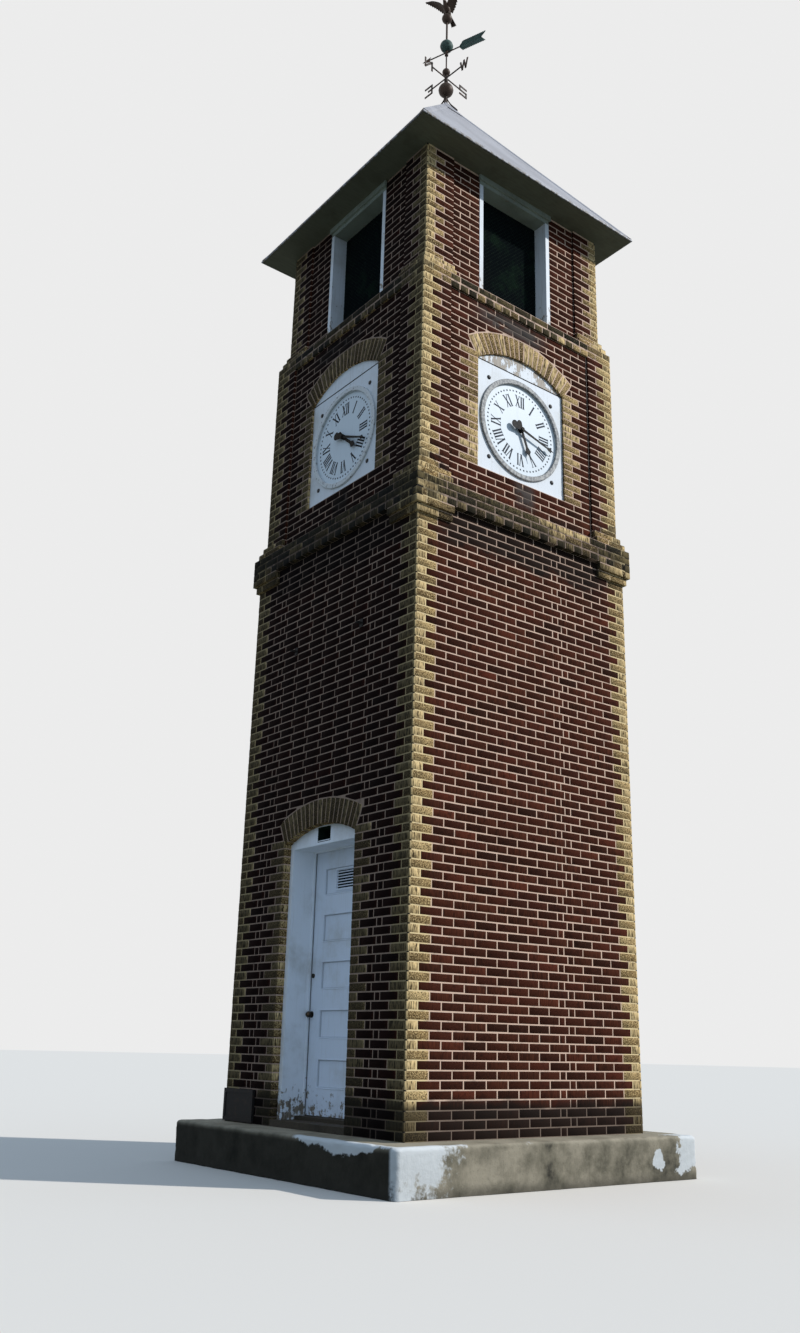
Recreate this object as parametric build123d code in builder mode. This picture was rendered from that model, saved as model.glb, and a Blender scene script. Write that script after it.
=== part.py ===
from build123d import *
import os
from math import atan2, cos, degrees, radians, sin, sqrt

# Brick clock tower: concrete plinth, hollow brick shaft with one door, clock stage with
# a dial on each side, open belfry, pyramid roof and weather vane.
# Millimetres. The door side looks towards -Y. The origin is under the middle of the plinth.

# Brickwork
course = 66.675
side_count = 4

# Plinth
plinth_height = 320.0
plinth_margin = 300.0
plinth_corner_radius = 45.0
plinth_edge_radius = 22.0

# Shaft
shaft_half = 1219.0
wall_thickness = 330.0
shaft_courses = 73

# Doorway in the front of the shaft
doorway_half = 515.0
doorway_rise = 114.0
arch_depth = 203.0
reveal_depth = 67.0
door_frame_lip = 15.0
door_jamb_width = 52.0
door_head_thickness = 25.0
door_stop_width = 25.0
door_stop_proud = 8.0
door_sill_height = 50.0
door_step_height = 28.0
door_step_depth = 145.0
transom_skirt = 20.0
transom_thickness = 22.0
transom_hole_width = 180.0
transom_hole_height = 108.0
transom_hole_lift = 10.0
transom_hole_offset = -18.0

# Door leaf: five panels between rails
leaf_clearance = 5.0
leaf_thickness = 45.0
leaf_height = 2101.0
leaf_stile = 142.0
leaf_top_rail = 144.0
leaf_rail = 158.0
leaf_bottom_rail = 205.0
leaf_panel_recess = 13.0
panel_count = 5
vent_width = 332.0
vent_margin = 19.0
vent_thickness = 10.0
vent_border = 12.0
vent_slot_height = 15.0
vent_slot_count = 7
vent_back_inset = 8.0
knob_height = 773.0
knob_inset = 29.0
knob_radius = 24.0
knob_reach = 58.0
rosette_radius = 26.0
rosette_thickness = 6.0
knob_neck_radius = 9.0
lock_radius = 18.0
lock_height = 1081.0
lock_proud = 9.0
hinge_radius = 7.0
hinge_pin_radius = 3.0
hinge_pin_fit = 0.1
hinge_height = 102.0
hinge_gap = 0.5
knuckle_count = 3
hinge_plate_width = 38.0
hinge_plate_thickness = 3.0
hinge_inset = 230.0

# Small metal fittings on the front of the shaft
cover_width = 462.0
cover_height = 252.0
cover_lift = 8.0
cover_thickness = 18.0
cover_rim = 30.0
cover_rim_proud = 5.0
bracket_spread = 496.0
bracket_level = 3966.0
bracket_width = 44.0
bracket_height = 70.0
bracket_plate = 6.0
bracket_reach = 55.0

# Corbelled band under the clock stage
band_proud = 50.0
band_courses = 3
corner_course_proud = 25.0
low_corner_courses = 2
high_step_proud = 54.0
top_step_proud = 27.0

# Clock stage
clock_setback = 31.0
clock_pier = 317.5
clock_recess = 20.0
clock_wall = 279.0
clock_stage_courses = 32
clock_sill_courses = 5
clock_header_courses = 2
dial_opening_half = 533.5
dial_spring_height = 1089.0
dial_rise = 171.0
board_setback = 20.0
board_thickness = 25.0
board_gap = 8.0

# Dials and hands
dial_radius = 449.0
dial_setback = 7.0
dial_clearance = 0.5
bezel_inner = 444.5
bezel_outer = 493.0
bezel_proud = 18.0
bezel_round = 7.0
arbor_radius = 9.0
arbor_collar_radius = 24.0
arbor_collar_thickness = 12.0
arbor_tail = 40.0
arbor_fit = 0.1
nut_radius = 17.0
nut_thickness = 9.0
hub_radius = 26.0
hand_thickness = 4.0
hour_hand_gap = 8.0
minute_hand_gap = 8.0
nut_gap = 0.5
hour_length = 305.0
hour_root = 30.0
hour_neck = 26.0
hour_spade_width = 66.0
hour_spade_start = 168.0
hour_spade_middle = 212.0
hour_spade_end = 246.0
hour_needle = 8.0
hour_tail = 95.0
hour_tail_width = 56.0
minute_length = 412.0
minute_root = 26.0
minute_neck = 16.0
minute_spade_width = 42.0
minute_spade_start = 318.0
minute_spade_middle = 350.0
minute_spade_end = 380.0
minute_needle = 7.0
minute_tail = 132.0
minute_tail_width = 78.0
# Clockwise degrees from the top of the dial, seen from outside
hour_angles = {"front": 130.5, "right": 158.0, "back": 130.5, "left": 158.0}
minute_angles = {"front": 113.6, "right": 104.6, "back": 113.6, "left": 104.6}

# Belfry
belfry_setback = 78.0
belfry_pier = 317.5
belfry_recess = 18.0
belfry_wall = 203.0
belfry_height = 1349.0
belfry_low_step = 52.0
belfry_high_step = 26.0
opening_half = 457.0
frame_wood = 45.0
frame_depth = 168.0
frame_proud = 4.0
frame_sill = 40.0
frame_head = 42.0
cornice_height = 52.0
cornice_proud = 22.0
cornice_overlap = 14.0
screen_thickness = 12.0
screen_setback = 2.0
deck_thickness = 38.0
joist_width = 50.0
joist_depth = 190.0
joist_count = 4
joist_spacing = 450.0

# Roof
soffit_thickness = 22.0
eave_overhang = 267.0
drip_edge = 6.0
roof_rise = 1932.0
roof_thickness = 30.0
roof_top_half = 30.0
cap_top_half = 13.0

# Weather vane, heights measured from the cut top of the roof
stem_radius = 13.0
stem_height = 146.0
leg_run = 110.0
leg_width = 20.0
leg_thickness = 6.0
rod_radius = 8.0
ball_fit = 0.2
big_ball_radius = 87.0
hub_radius_low = 24.0
hub_radius_high = 16.0
small_ball_radius = 43.0
small_ball_level = 491.0
arm_level = 408.0
arm_radius = 6.0
arm_turn = 6.0
letter_start = 215.0
letter_width = 100.0
letter_height = 104.0
letter_stroke = 17.0
letter_thickness = 6.0
letter_hold = 16.0
collar_level = 727.0
collar_radius = 20.0
collar_height = 26.0
pivot_radius = 5.0
pivot_fit = 0.1
pivot_length = 28.0
swivel_gap = 0.3
arrow_hub_radius = 16.0
arrow_hub_height = 35.0
arrow_lift = 18.0
arrow_radius = 7.0
arrow_tip = 308.0
arrow_barb = 200.0
arrow_notch = 226.0
arrow_head_half = 34.0
arrow_hold = 12.0
arrow_plate = 6.0
arrow_turn = 201.3
feather_start = 160.0
feather_shoulder = 45.0
feather_end = 490.0
feather_notch = 52.0
feather_half = 66.0
feather_spine = 5.0
vane_ball_radius = 72.0
tube_radius = 9.0
top_ball_radius = 58.0
top_ball_level = 1261.0
perch_radius = 15.0
perch_height = 14.0
bird_turn = -68.0
bird_legs = 58.0
bird_body_length = 176.0
bird_body_radius = 38.0
bird_body_pitch = 38.0
bird_head_radius = 21.0
bird_head_forward = 62.0
bird_head_rise = 58.0
bird_beak_length = 26.0
bird_beak_radius = 10.5
bird_beak_tip = 1.0
wing_span = 275.0
wing_elbow = 105.0
wing_elbow_chord = 46.0
wing_root_chord = 30.0
wing_trail = 74.0
wing_thickness = 9.0
wing_azimuth = 62.0
wing_rise = 26.0
tail_length = 215.0
tail_root = 22.0
tail_half = 40.0
tail_thickness = 9.0
tail_droop = 36.0

# Half widths
core_half = shaft_half - wall_thickness
band_half = shaft_half + band_proud
corner_course_half = shaft_half + corner_course_proud
clock_half = shaft_half - clock_setback
clock_panel = clock_half - clock_recess
belfry_half = clock_half - belfry_setback
belfry_panel = belfry_half - belfry_recess
roof_half = belfry_half + eave_overhang
soffit_half = roof_half - drip_edge

# Door heights
panel_rails = leaf_top_rail + leaf_bottom_rail + (panel_count - 1) * leaf_rail
leaf_panel_height = (leaf_height - panel_rails) / panel_count
vent_height = leaf_panel_height - 2 * vent_margin
hinge_levels = (hinge_inset, leaf_height / 2, leaf_height - hinge_inset)
door_frame_height = door_sill_height + door_step_height + leaf_height + 2 * leaf_clearance + door_head_thickness
doorway_spring = door_frame_height + transom_skirt

# Levels above the ground
shaft_foot = plinth_height
band_bottom = shaft_foot + shaft_courses * course
band_top = band_bottom + band_courses * course
dial_sill = band_top + clock_sill_courses * course
dial_spring = dial_sill + dial_spring_height
header_bottom = band_top + (clock_stage_courses - clock_header_courses) * course
stage_top = band_top + clock_stage_courses * course
soffit_bottom = stage_top + belfry_height
roof_bottom = soffit_bottom + soffit_thickness
pitch_ratio = roof_rise / roof_half
roof_cut = roof_bottom + roof_rise - roof_top_half * pitch_ratio

# Planes of the wall faces, as distances from the middle of the tower
pier_edge = clock_half - clock_pier
clock_core = clock_panel - clock_wall
belfry_core = belfry_panel - belfry_wall
belfry_edge = belfry_half - belfry_pier
board_face = clock_panel - board_setback
board_back = board_face - board_thickness
dial_centre = dial_sill + dial_spring_height / 2
frame_face = belfry_panel + frame_proud
frame_back = frame_face - frame_depth


def face_plane(distance):
    """Upright plane that looks towards -Y, its distance from the middle of the tower."""
    return Plane.XZ.offset(distance)


def level(height):
    """Level plane at a height above the ground."""
    return Plane.XY.offset(height)


def arch_points(half, rise, depth):
    """Corner and crown points of a segmental arch ring above its springing line."""
    radius = (half**2 + rise**2) / (2 * rise)
    centre = rise - radius
    angle = atan2(half, -centre)
    outer = radius + depth
    reach = outer * sin(angle)
    shoulder = centre + outer * cos(angle)
    return {"half": half, "crown": rise, "reach": reach, "shoulder": shoulder, "top": rise + depth}


def arch_outline(points, spring, ring):
    """Closed outline of an arch ring, or of the whole hole that the ring fills."""
    inner_left = (-points["half"], spring)
    inner_right = (points["half"], spring)
    outer_left = (-points["reach"], spring + points["shoulder"])
    outer_right = (points["reach"], spring + points["shoulder"])
    with BuildLine() as outline:
        ThreePointArc(outer_left, (0, spring + points["top"]), outer_right)
        Line(outer_right, inner_right)
        if ring:
            ThreePointArc(inner_right, (0, spring + points["crown"]), inner_left)
        else:
            Line(inner_right, inner_left)
        Line(inner_left, outer_left)
    return outline.line


def segment_outline(half, bottom, spring, crown):
    """Board outline: level bottom, upright ends and a segmental top."""
    with BuildLine() as outline:
        Line((-half, bottom), (half, bottom))
        if spring > bottom:
            Line((half, bottom), (half, spring))
        ThreePointArc((half, spring), (0, crown), (-half, spring))
        if spring > bottom:
            Line((-half, spring), (-half, bottom))
    return outline.line


def on_sides(piece, count=side_count):
    """The same piece on every side of the tower."""
    with BuildPart() as pieces:
        with PolarLocations(0, count):
            add(piece.part)
    return pieces


door_arch_points = arch_points(doorway_half, doorway_rise, arch_depth)
dial_arch_points = arch_points(dial_opening_half, dial_rise, arch_depth)

# Plinth

with BuildPart() as plinth:
    with BuildSketch():
        Rectangle(2 * (shaft_half + plinth_margin), 2 * (shaft_half + plinth_margin))
    extrude(amount=plinth_height)
    fillet(plinth.edges().filter_by(Axis.Z), plinth_corner_radius)
    fillet(plinth.faces().sort_by(Axis.Z)[-1].edges(), plinth_edge_radius)

# Shaft walls

shaft_height = band_bottom - shaft_foot
wall_middle = shaft_half - wall_thickness / 2

pier_width = shaft_half - doorway_half
front_pier_middle = doorway_half + pier_width / 2

with BuildPart() as shaft_back_wall:
    with BuildSketch(level(shaft_foot)):
        with Locations((0, wall_middle)):
            Rectangle(2 * shaft_half, wall_thickness)
    extrude(amount=shaft_height)

with BuildPart() as shaft_side_walls:
    with BuildSketch(level(shaft_foot)):
        with Locations((wall_middle, 0), (-wall_middle, 0)):
            Rectangle(wall_thickness, 2 * core_half)
    extrude(amount=shaft_height)

with BuildPart() as shaft_front_piers:
    with BuildSketch(level(shaft_foot)):
        with Locations((front_pier_middle, -wall_middle), (-front_pier_middle, -wall_middle)):
            Rectangle(pier_width, wall_thickness)
    extrude(amount=doorway_spring)

door_spring_level = shaft_foot + doorway_spring

with BuildPart() as shaft_over_door:
    with BuildSketch(face_plane(core_half)):
        with Locations((0, (door_spring_level + band_bottom) / 2)):
            Rectangle(2 * shaft_half, band_bottom - door_spring_level)
        with BuildLine():
            add(arch_outline(door_arch_points, door_spring_level, False))
        make_face(mode=Mode.SUBTRACT)
    extrude(amount=wall_thickness)

with BuildPart() as door_arch:
    with BuildSketch(face_plane(core_half)):
        with BuildLine():
            add(arch_outline(door_arch_points, door_spring_level, True))
        make_face()
    extrude(amount=wall_thickness)

# Door sill, frame and transom board

reveal_face = shaft_half - reveal_depth
inner_face = core_half - door_frame_lip
door_frame_depth = reveal_face - inner_face
sill_top = shaft_foot + door_sill_height
step_top = sill_top + door_step_height
leaf_bottom = step_top + leaf_clearance
leaf_top = leaf_bottom + leaf_height
head_bottom = leaf_top + leaf_clearance
head_top = head_bottom + door_head_thickness
jamb_inner = doorway_half - door_jamb_width
leaf_half = jamb_inner - leaf_clearance
leaf_front = inner_face + leaf_thickness

with BuildPart() as door_sill:
    with BuildSketch(level(shaft_foot)):
        with Locations((0, -(shaft_half + inner_face) / 2)):
            Rectangle(2 * doorway_half, shaft_half - inner_face)
    extrude(amount=door_sill_height)
    with BuildSketch(level(sill_top)):
        with Locations((0, -inner_face - door_step_depth / 2)):
            Rectangle(2 * jamb_inner, door_step_depth)
    extrude(amount=door_step_height)

stop_back = leaf_front + leaf_clearance
jamb_middle_x = doorway_half - door_jamb_width / 2
stop_middle_x = jamb_inner - door_stop_proud / 2
stop_bottom = head_bottom - door_stop_proud
jamb_level = (sill_top + head_bottom) / 2
stop_level = (step_top + head_bottom) / 2

with BuildPart() as door_jambs:
    with BuildSketch(face_plane(inner_face)):
        with Locations((jamb_middle_x, jamb_level), (-jamb_middle_x, jamb_level)):
            Rectangle(door_jamb_width, head_bottom - sill_top)
    extrude(amount=door_frame_depth)
    with BuildSketch(face_plane(stop_back)):
        with Locations((stop_middle_x, stop_level), (-stop_middle_x, stop_level)):
            Rectangle(door_stop_proud, head_bottom - step_top)
    extrude(amount=door_stop_width)

with BuildPart() as door_head:
    with BuildSketch(face_plane(inner_face)):
        with Locations((0, head_bottom + door_head_thickness / 2)):
            Rectangle(2 * doorway_half, door_head_thickness)
    extrude(amount=door_frame_depth)
    with BuildSketch(face_plane(stop_back)):
        with Locations((0, (stop_bottom + head_bottom) / 2)):
            Rectangle(2 * (jamb_inner - door_stop_proud), door_stop_proud)
    extrude(amount=door_stop_width)

with BuildPart() as transom_board:
    with BuildSketch(face_plane(reveal_face - transom_thickness)):
        with BuildLine():
            add(segment_outline(doorway_half, head_top, door_spring_level, door_spring_level + doorway_rise))
        make_face()
        with Locations((transom_hole_offset, head_top + transom_hole_lift + transom_hole_height / 2)):
            Rectangle(transom_hole_width, transom_hole_height, mode=Mode.SUBTRACT)
    extrude(amount=transom_thickness)

# Door leaf, vent, knobs and hinges

leaf_middle = (leaf_bottom + leaf_top) / 2
panel_width = 2 * (leaf_half - leaf_stile)
panel_levels = [
    leaf_top - leaf_top_rail - leaf_panel_height / 2 - row * (leaf_panel_height + leaf_rail)
    for row in range(panel_count)
]
vent_middle = panel_levels[0] + (leaf_panel_height - vent_height) / 2 - vent_border
vent_hole_width = vent_width - 2 * vent_border - 2 * vent_back_inset
vent_hole_height = vent_height - 2 * vent_border - 2 * vent_back_inset

with BuildPart() as door_leaf:
    with BuildSketch(face_plane(inner_face)):
        with Locations((0, leaf_middle)):
            Rectangle(2 * leaf_half, leaf_height)
    extrude(amount=leaf_thickness)
    with BuildSketch(face_plane(leaf_front)):
        with Locations(*[(0, panel_level) for panel_level in panel_levels]):
            Rectangle(panel_width, leaf_panel_height)
    extrude(amount=-leaf_panel_recess, mode=Mode.SUBTRACT)
    with BuildSketch(face_plane(inner_face)):
        with Locations(*[(0, panel_level) for panel_level in panel_levels]):
            Rectangle(panel_width, leaf_panel_height)
    extrude(amount=leaf_panel_recess, mode=Mode.SUBTRACT)
    with BuildSketch(face_plane(inner_face)):
        with Locations((0, vent_middle)):
            Rectangle(vent_hole_width, vent_hole_height)
    extrude(amount=leaf_thickness, mode=Mode.SUBTRACT)

vent_seat = leaf_front - leaf_panel_recess
slot_pitch = (vent_height - 2 * vent_border) / vent_slot_count

with BuildPart() as door_vent:
    with BuildSketch(face_plane(vent_seat)):
        with Locations((0, vent_middle)):
            Rectangle(vent_width, vent_height)
        with Locations((0, vent_middle)), GridLocations(0, slot_pitch, 1, vent_slot_count):
            Rectangle(vent_width - 2 * vent_border, vent_slot_height, mode=Mode.SUBTRACT)
    extrude(amount=vent_thickness)

knob_x = -leaf_half + knob_inset
knob_level = leaf_bottom + knob_height
lock_level = leaf_bottom + lock_height
leaf_middle_y = -(inner_face + leaf_front) / 2

with BuildPart() as door_knobs:
    with BuildSketch(Plane(origin=(knob_x, leaf_middle_y, knob_level), x_dir=(1, 0, 0), z_dir=(0, 0, 1))):
        neck_end = leaf_thickness / 2 + knob_reach - knob_radius
        with BuildLine():
            Polyline(
                (0, -leaf_thickness / 2),
                (rosette_radius, -leaf_thickness / 2),
                (rosette_radius, -leaf_thickness / 2 - rosette_thickness),
                (knob_neck_radius, -leaf_thickness / 2 - rosette_thickness),
                (knob_neck_radius, -neck_end + sqrt(knob_radius**2 - knob_neck_radius**2)),
            )
            ThreePointArc(
                (knob_neck_radius, -neck_end + sqrt(knob_radius**2 - knob_neck_radius**2)),
                (knob_radius, -neck_end),
                (0, -neck_end - knob_radius),
            )
            Line((0, -neck_end - knob_radius), (0, -leaf_thickness / 2))
        make_face()
    revolve(axis=Axis((knob_x, leaf_middle_y, knob_level), (0, 1, 0)))
    mirror(about=Plane((knob_x, leaf_middle_y, knob_level), z_dir=(0, 1, 0)))
    with BuildSketch(face_plane(leaf_front)):
        with Locations((knob_x, lock_level)):
            Circle(lock_radius)
    extrude(amount=lock_proud)

hinge_y = -inner_face + hinge_radius
hinge_x = (leaf_half + jamb_inner) / 2
knuckle_height = hinge_height / knuckle_count
plate_y = -inner_face + hinge_plate_thickness / 2
frame_plate_end = jamb_inner + hinge_plate_width
leaf_plate_end = leaf_half - hinge_plate_width


def hinge_plate(start_x, end_x, bottom, height):
    """Flat hinge plate on the inner faces of the frame or the leaf."""
    with BuildSketch(level(bottom)) as plate:
        with Locations(((start_x + end_x) / 2, plate_y)):
            Rectangle(end_x - start_x, hinge_plate_thickness)
    extrude(plate.sketch, amount=height)


with BuildPart() as door_hinges:
    for hinge_level in hinge_levels:
        low = leaf_bottom + hinge_level - hinge_height / 2
        for bottom in (low, low + 2 * knuckle_height):
            hinge_plate(hinge_x, frame_plate_end, bottom, knuckle_height)
            with BuildSketch(level(bottom)):
                with Locations((hinge_x, hinge_y)):
                    Circle(hinge_radius)
            extrude(amount=knuckle_height)
        hinge_plate(jamb_inner + leaf_clearance, frame_plate_end, low, hinge_height)
        with BuildSketch(level(low)):
            with Locations((hinge_x, hinge_y)):
                Circle(hinge_pin_radius)
        extrude(amount=hinge_height)

with BuildPart() as leaf_hinges:
    for hinge_level in hinge_levels:
        low = leaf_bottom + hinge_level - knuckle_height / 2 + hinge_gap
        middle_height = knuckle_height - 2 * hinge_gap
        hinge_plate(leaf_plate_end, hinge_x, low, middle_height)
        with BuildSketch(level(low)):
            with Locations((hinge_x, hinge_y)):
                Circle(hinge_radius)
        extrude(amount=middle_height)
        with BuildSketch(level(low)):
            with Locations((hinge_x, hinge_y)):
                Circle(hinge_pin_radius + hinge_pin_fit)
        extrude(amount=middle_height, mode=Mode.SUBTRACT)

# Small metal fittings on the front wall

cover_bottom = shaft_foot + cover_lift
cover_x = -shaft_half + cover_width / 2
bracket_middle = shaft_foot + bracket_level

with BuildPart() as utility_cover:
    with BuildSketch(face_plane(shaft_half)):
        with Locations((cover_x, cover_bottom + cover_height / 2)):
            Rectangle(cover_width, cover_height)
    extrude(amount=cover_thickness)
    with BuildSketch(face_plane(shaft_half + cover_thickness)):
        with Locations((cover_x, cover_bottom + cover_height / 2)):
            Rectangle(cover_width, cover_height)
            Rectangle(cover_width - 2 * cover_rim, cover_height - 2 * cover_rim, mode=Mode.SUBTRACT)
    extrude(amount=cover_rim_proud)

with BuildPart() as wall_brackets:
    with BuildSketch(face_plane(shaft_half)):
        with Locations((-bracket_spread, bracket_middle), (bracket_spread, bracket_middle)):
            Rectangle(bracket_width, bracket_height)
    extrude(amount=bracket_plate)
    with BuildSketch(face_plane(shaft_half)):
        with Locations((-bracket_spread, bracket_middle), (bracket_spread, bracket_middle)):
            Rectangle(bracket_width, bracket_plate)
    extrude(amount=bracket_reach)

# Corbelled band and its corner blocks

band_thickness = band_half - core_half
band_middle = core_half + band_thickness / 2

with BuildPart() as corbel_band_ends:
    with BuildSketch(level(band_bottom)):
        with Locations((0, band_middle), (0, -band_middle)):
            Rectangle(2 * band_half, band_thickness)
    extrude(amount=band_courses * course)

with BuildPart() as corbel_band_sides:
    with BuildSketch(level(band_bottom)):
        with Locations((band_middle, 0), (-band_middle, 0)):
            Rectangle(band_thickness, 2 * core_half)
    extrude(amount=band_courses * course)


def corner_step(edge, wall, outer):
    """Angle-shaped outline of one corner course that stands out from a wall corner."""
    return [(edge, wall), (edge, outer), (outer, outer), (outer, edge), (wall, edge), (wall, wall)]


with BuildPart() as corbel_corner:
    with BuildSketch(level(band_bottom - low_corner_courses * course)):
        Polygon(*corner_step(pier_edge, shaft_half, corner_course_half), align=None)
    extrude(amount=course)
    with BuildSketch(level(band_bottom - course)):
        Polygon(*corner_step(pier_edge, shaft_half, band_half), align=None)
    extrude(amount=course)
    with BuildSketch(level(band_top)):
        Polygon(*corner_step(pier_edge, clock_half, clock_half + high_step_proud), align=None)
    extrude(amount=course)
    with BuildSketch(level(band_top + course)):
        Polygon(*corner_step(pier_edge, clock_half, clock_half + top_step_proud), align=None)
    extrude(amount=course)

corbel_corners = on_sides(corbel_corner)

# Clock stage walls: corner piers, sunk panels with the dial openings, header course

stage_height = stage_top - band_top
pier_middle = clock_half - clock_pier / 2

with BuildPart() as clock_piers:
    with BuildSketch(level(band_top)):
        with GridLocations(2 * pier_middle, 2 * pier_middle, 2, 2):
            Rectangle(clock_pier, clock_pier)
    extrude(amount=stage_height)

with BuildPart() as clock_panel_pair:
    with BuildSketch(face_plane(clock_core)):
        with Locations((0, (band_top + dial_sill) / 2)):
            Rectangle(2 * pier_edge, dial_sill - band_top)
        with Locations((0, (dial_spring + header_bottom) / 2)):
            Rectangle(2 * pier_edge, header_bottom - dial_spring)
        with BuildLine():
            add(arch_outline(dial_arch_points, dial_spring, False))
        make_face(mode=Mode.SUBTRACT)
    extrude(amount=clock_wall)

clock_panels = on_sides(clock_panel_pair)

jamb_width = pier_edge - dial_opening_half
jamb_middle = dial_opening_half + jamb_width / 2

with BuildPart() as clock_jamb_pair:
    with BuildSketch(face_plane(clock_core)):
        with Locations((jamb_middle, dial_centre), (-jamb_middle, dial_centre)):
            Rectangle(jamb_width, dial_spring - dial_sill)
    extrude(amount=clock_wall)

clock_jambs = on_sides(clock_jamb_pair)

with BuildPart() as clock_arch:
    with BuildSketch(face_plane(clock_core)):
        with BuildLine():
            add(arch_outline(dial_arch_points, dial_spring, True))
        make_face()
    extrude(amount=clock_wall)

clock_arches = on_sides(clock_arch)

with BuildPart() as header_course:
    with BuildSketch(face_plane(clock_core)):
        with Locations((0, (header_bottom + stage_top) / 2)):
            Rectangle(2 * pier_edge, stage_top - header_bottom)
    extrude(amount=clock_half - clock_core)

belfry_sills = on_sides(header_course)

# Clock boards, tympana, dials and bezels

arbor_hole_radius = arbor_radius + dial_clearance
dial_face = board_face - dial_setback
dial_thickness = dial_face - board_back

with BuildPart() as clock_board:
    with BuildSketch(face_plane(board_back)):
        with Locations((0, dial_centre)):
            Rectangle(2 * dial_opening_half, dial_spring_height)
            Circle(dial_radius + dial_clearance, mode=Mode.SUBTRACT)
    extrude(amount=board_thickness)

clock_boards = on_sides(clock_board)

with BuildPart() as clock_tympanum:
    with BuildSketch(face_plane(board_back)):
        with BuildLine():
            tympanum_bottom = dial_spring + board_gap
            arc_radius = (dial_opening_half**2 + dial_rise**2) / (2 * dial_rise)
            arc_centre = dial_rise - arc_radius
            tympanum_half = sqrt(arc_radius**2 - (board_gap - arc_centre) ** 2)
            add(segment_outline(tympanum_half, tympanum_bottom, tympanum_bottom, dial_spring + dial_rise))
        make_face()
    extrude(amount=board_thickness)

clock_tympana = on_sides(clock_tympanum)

with BuildPart() as dial:
    with BuildSketch(face_plane(board_back)):
        with Locations((0, dial_centre)):
            Circle(dial_radius)
            Circle(arbor_hole_radius, mode=Mode.SUBTRACT)
    extrude(amount=dial_thickness)

clock_dials = on_sides(dial)

with BuildPart() as bezel:
    with BuildSketch(face_plane(board_face)):
        with Locations((0, dial_centre)):
            Circle(bezel_outer)
            Circle(bezel_inner, mode=Mode.SUBTRACT)
    extrude(amount=bezel_proud)
    fillet(bezel.faces().sort_by(Axis.Y)[0].edges(), bezel_round)

clock_bezels = on_sides(bezel)

hour_back = dial_face + arbor_collar_thickness + hour_hand_gap
hour_front = hour_back + hand_thickness
minute_back = hour_front + minute_hand_gap
minute_front = minute_back + hand_thickness
nut_back = minute_front + nut_gap

with BuildPart() as arbor:
    with BuildSketch(face_plane(board_back - arbor_tail)):
        with Locations((0, dial_centre)):
            Circle(arbor_radius)
    extrude(amount=nut_back - board_back + arbor_tail)
    with BuildSketch(face_plane(dial_face)):
        with Locations((0, dial_centre)):
            Circle(arbor_collar_radius)
    extrude(amount=arbor_collar_thickness)
    with BuildSketch(face_plane(nut_back)):
        with Locations((0, dial_centre)):
            Circle(nut_radius)
    extrude(amount=nut_thickness)

hand_arbors = on_sides(arbor)


def hand_outline(length, root, neck, spade, start, middle, end, needle, tail, tail_width):
    """One clock hand pointing up: round tail, tapered bar, spade and needle point."""
    side = [(root / 2, 0), (neck / 2, start), (spade / 2, middle), (needle / 2, end)]
    tail_corner = (tail_width / 2, tail_width / 2 - tail)
    mirrored = [(-x, y) for x, y in reversed(side)]
    with BuildLine() as outline:
        Polyline(tail_corner, *side, (0, length), *mirrored, (-tail_corner[0], tail_corner[1]))
        ThreePointArc((-tail_corner[0], tail_corner[1]), (0, -tail), tail_corner)
    return outline.line


def clock_hand(side_turn, angle, back, outline):
    """One hand on its arbor, turned clockwise on the dial and placed on its side."""
    turned = (cos(radians(angle)), 0, -sin(radians(angle)))
    with BuildPart() as hand:
        with BuildSketch(Plane(origin=(0, -back, dial_centre), x_dir=turned, z_dir=(0, -1, 0))):
            with BuildLine():
                add(outline)
            make_face()
            Circle(hub_radius)
            Circle(arbor_radius + arbor_fit, mode=Mode.SUBTRACT)
        extrude(amount=hand_thickness)
    with BuildPart() as placed:
        add(hand.part, rotation=(0, 0, side_turn))
    return placed


hour_shape = hand_outline(
    hour_length,
    hour_root,
    hour_neck,
    hour_spade_width,
    hour_spade_start,
    hour_spade_middle,
    hour_spade_end,
    hour_needle,
    hour_tail,
    hour_tail_width,
)
minute_shape = hand_outline(
    minute_length,
    minute_root,
    minute_neck,
    minute_spade_width,
    minute_spade_start,
    minute_spade_middle,
    minute_spade_end,
    minute_needle,
    minute_tail,
    minute_tail_width,
)
side_turns = {"front": 0, "right": 90, "back": 180, "left": 270}
hour_hands = {
    side: clock_hand(turn, hour_angles[side], hour_back, hour_shape) for side, turn in side_turns.items()
}
minute_hands = {
    side: clock_hand(turn, minute_angles[side], minute_back, minute_shape) for side, turn in side_turns.items()
}

# Belfry: corner steps, piers, side panels, wooden frames, screens and floor

belfry_pier_middle = belfry_half - belfry_pier / 2

with BuildPart() as belfry_corner:
    with BuildSketch(level(stage_top)):
        Polygon(*corner_step(belfry_edge, belfry_half, belfry_half + belfry_low_step), align=None)
    extrude(amount=course)
    with BuildSketch(level(stage_top + course)):
        Polygon(*corner_step(belfry_edge, belfry_half, belfry_half + belfry_high_step), align=None)
    extrude(amount=course)

belfry_corner_steps = on_sides(belfry_corner)

with BuildPart() as belfry_piers:
    with BuildSketch(level(stage_top)):
        with GridLocations(2 * belfry_pier_middle, 2 * belfry_pier_middle, 2, 2):
            Rectangle(belfry_pier, belfry_pier)
    extrude(amount=belfry_height)

belfry_wall_middle = belfry_panel - belfry_wall / 2
side_panel_width = belfry_edge - opening_half
side_panel_middle = opening_half + side_panel_width / 2

with BuildPart() as belfry_panel_pair:
    with BuildSketch(level(stage_top)):
        with Locations((side_panel_middle, -belfry_wall_middle), (-side_panel_middle, -belfry_wall_middle)):
            Rectangle(side_panel_width, belfry_wall)
    extrude(amount=belfry_height)

belfry_side_panels = on_sides(belfry_panel_pair)

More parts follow.
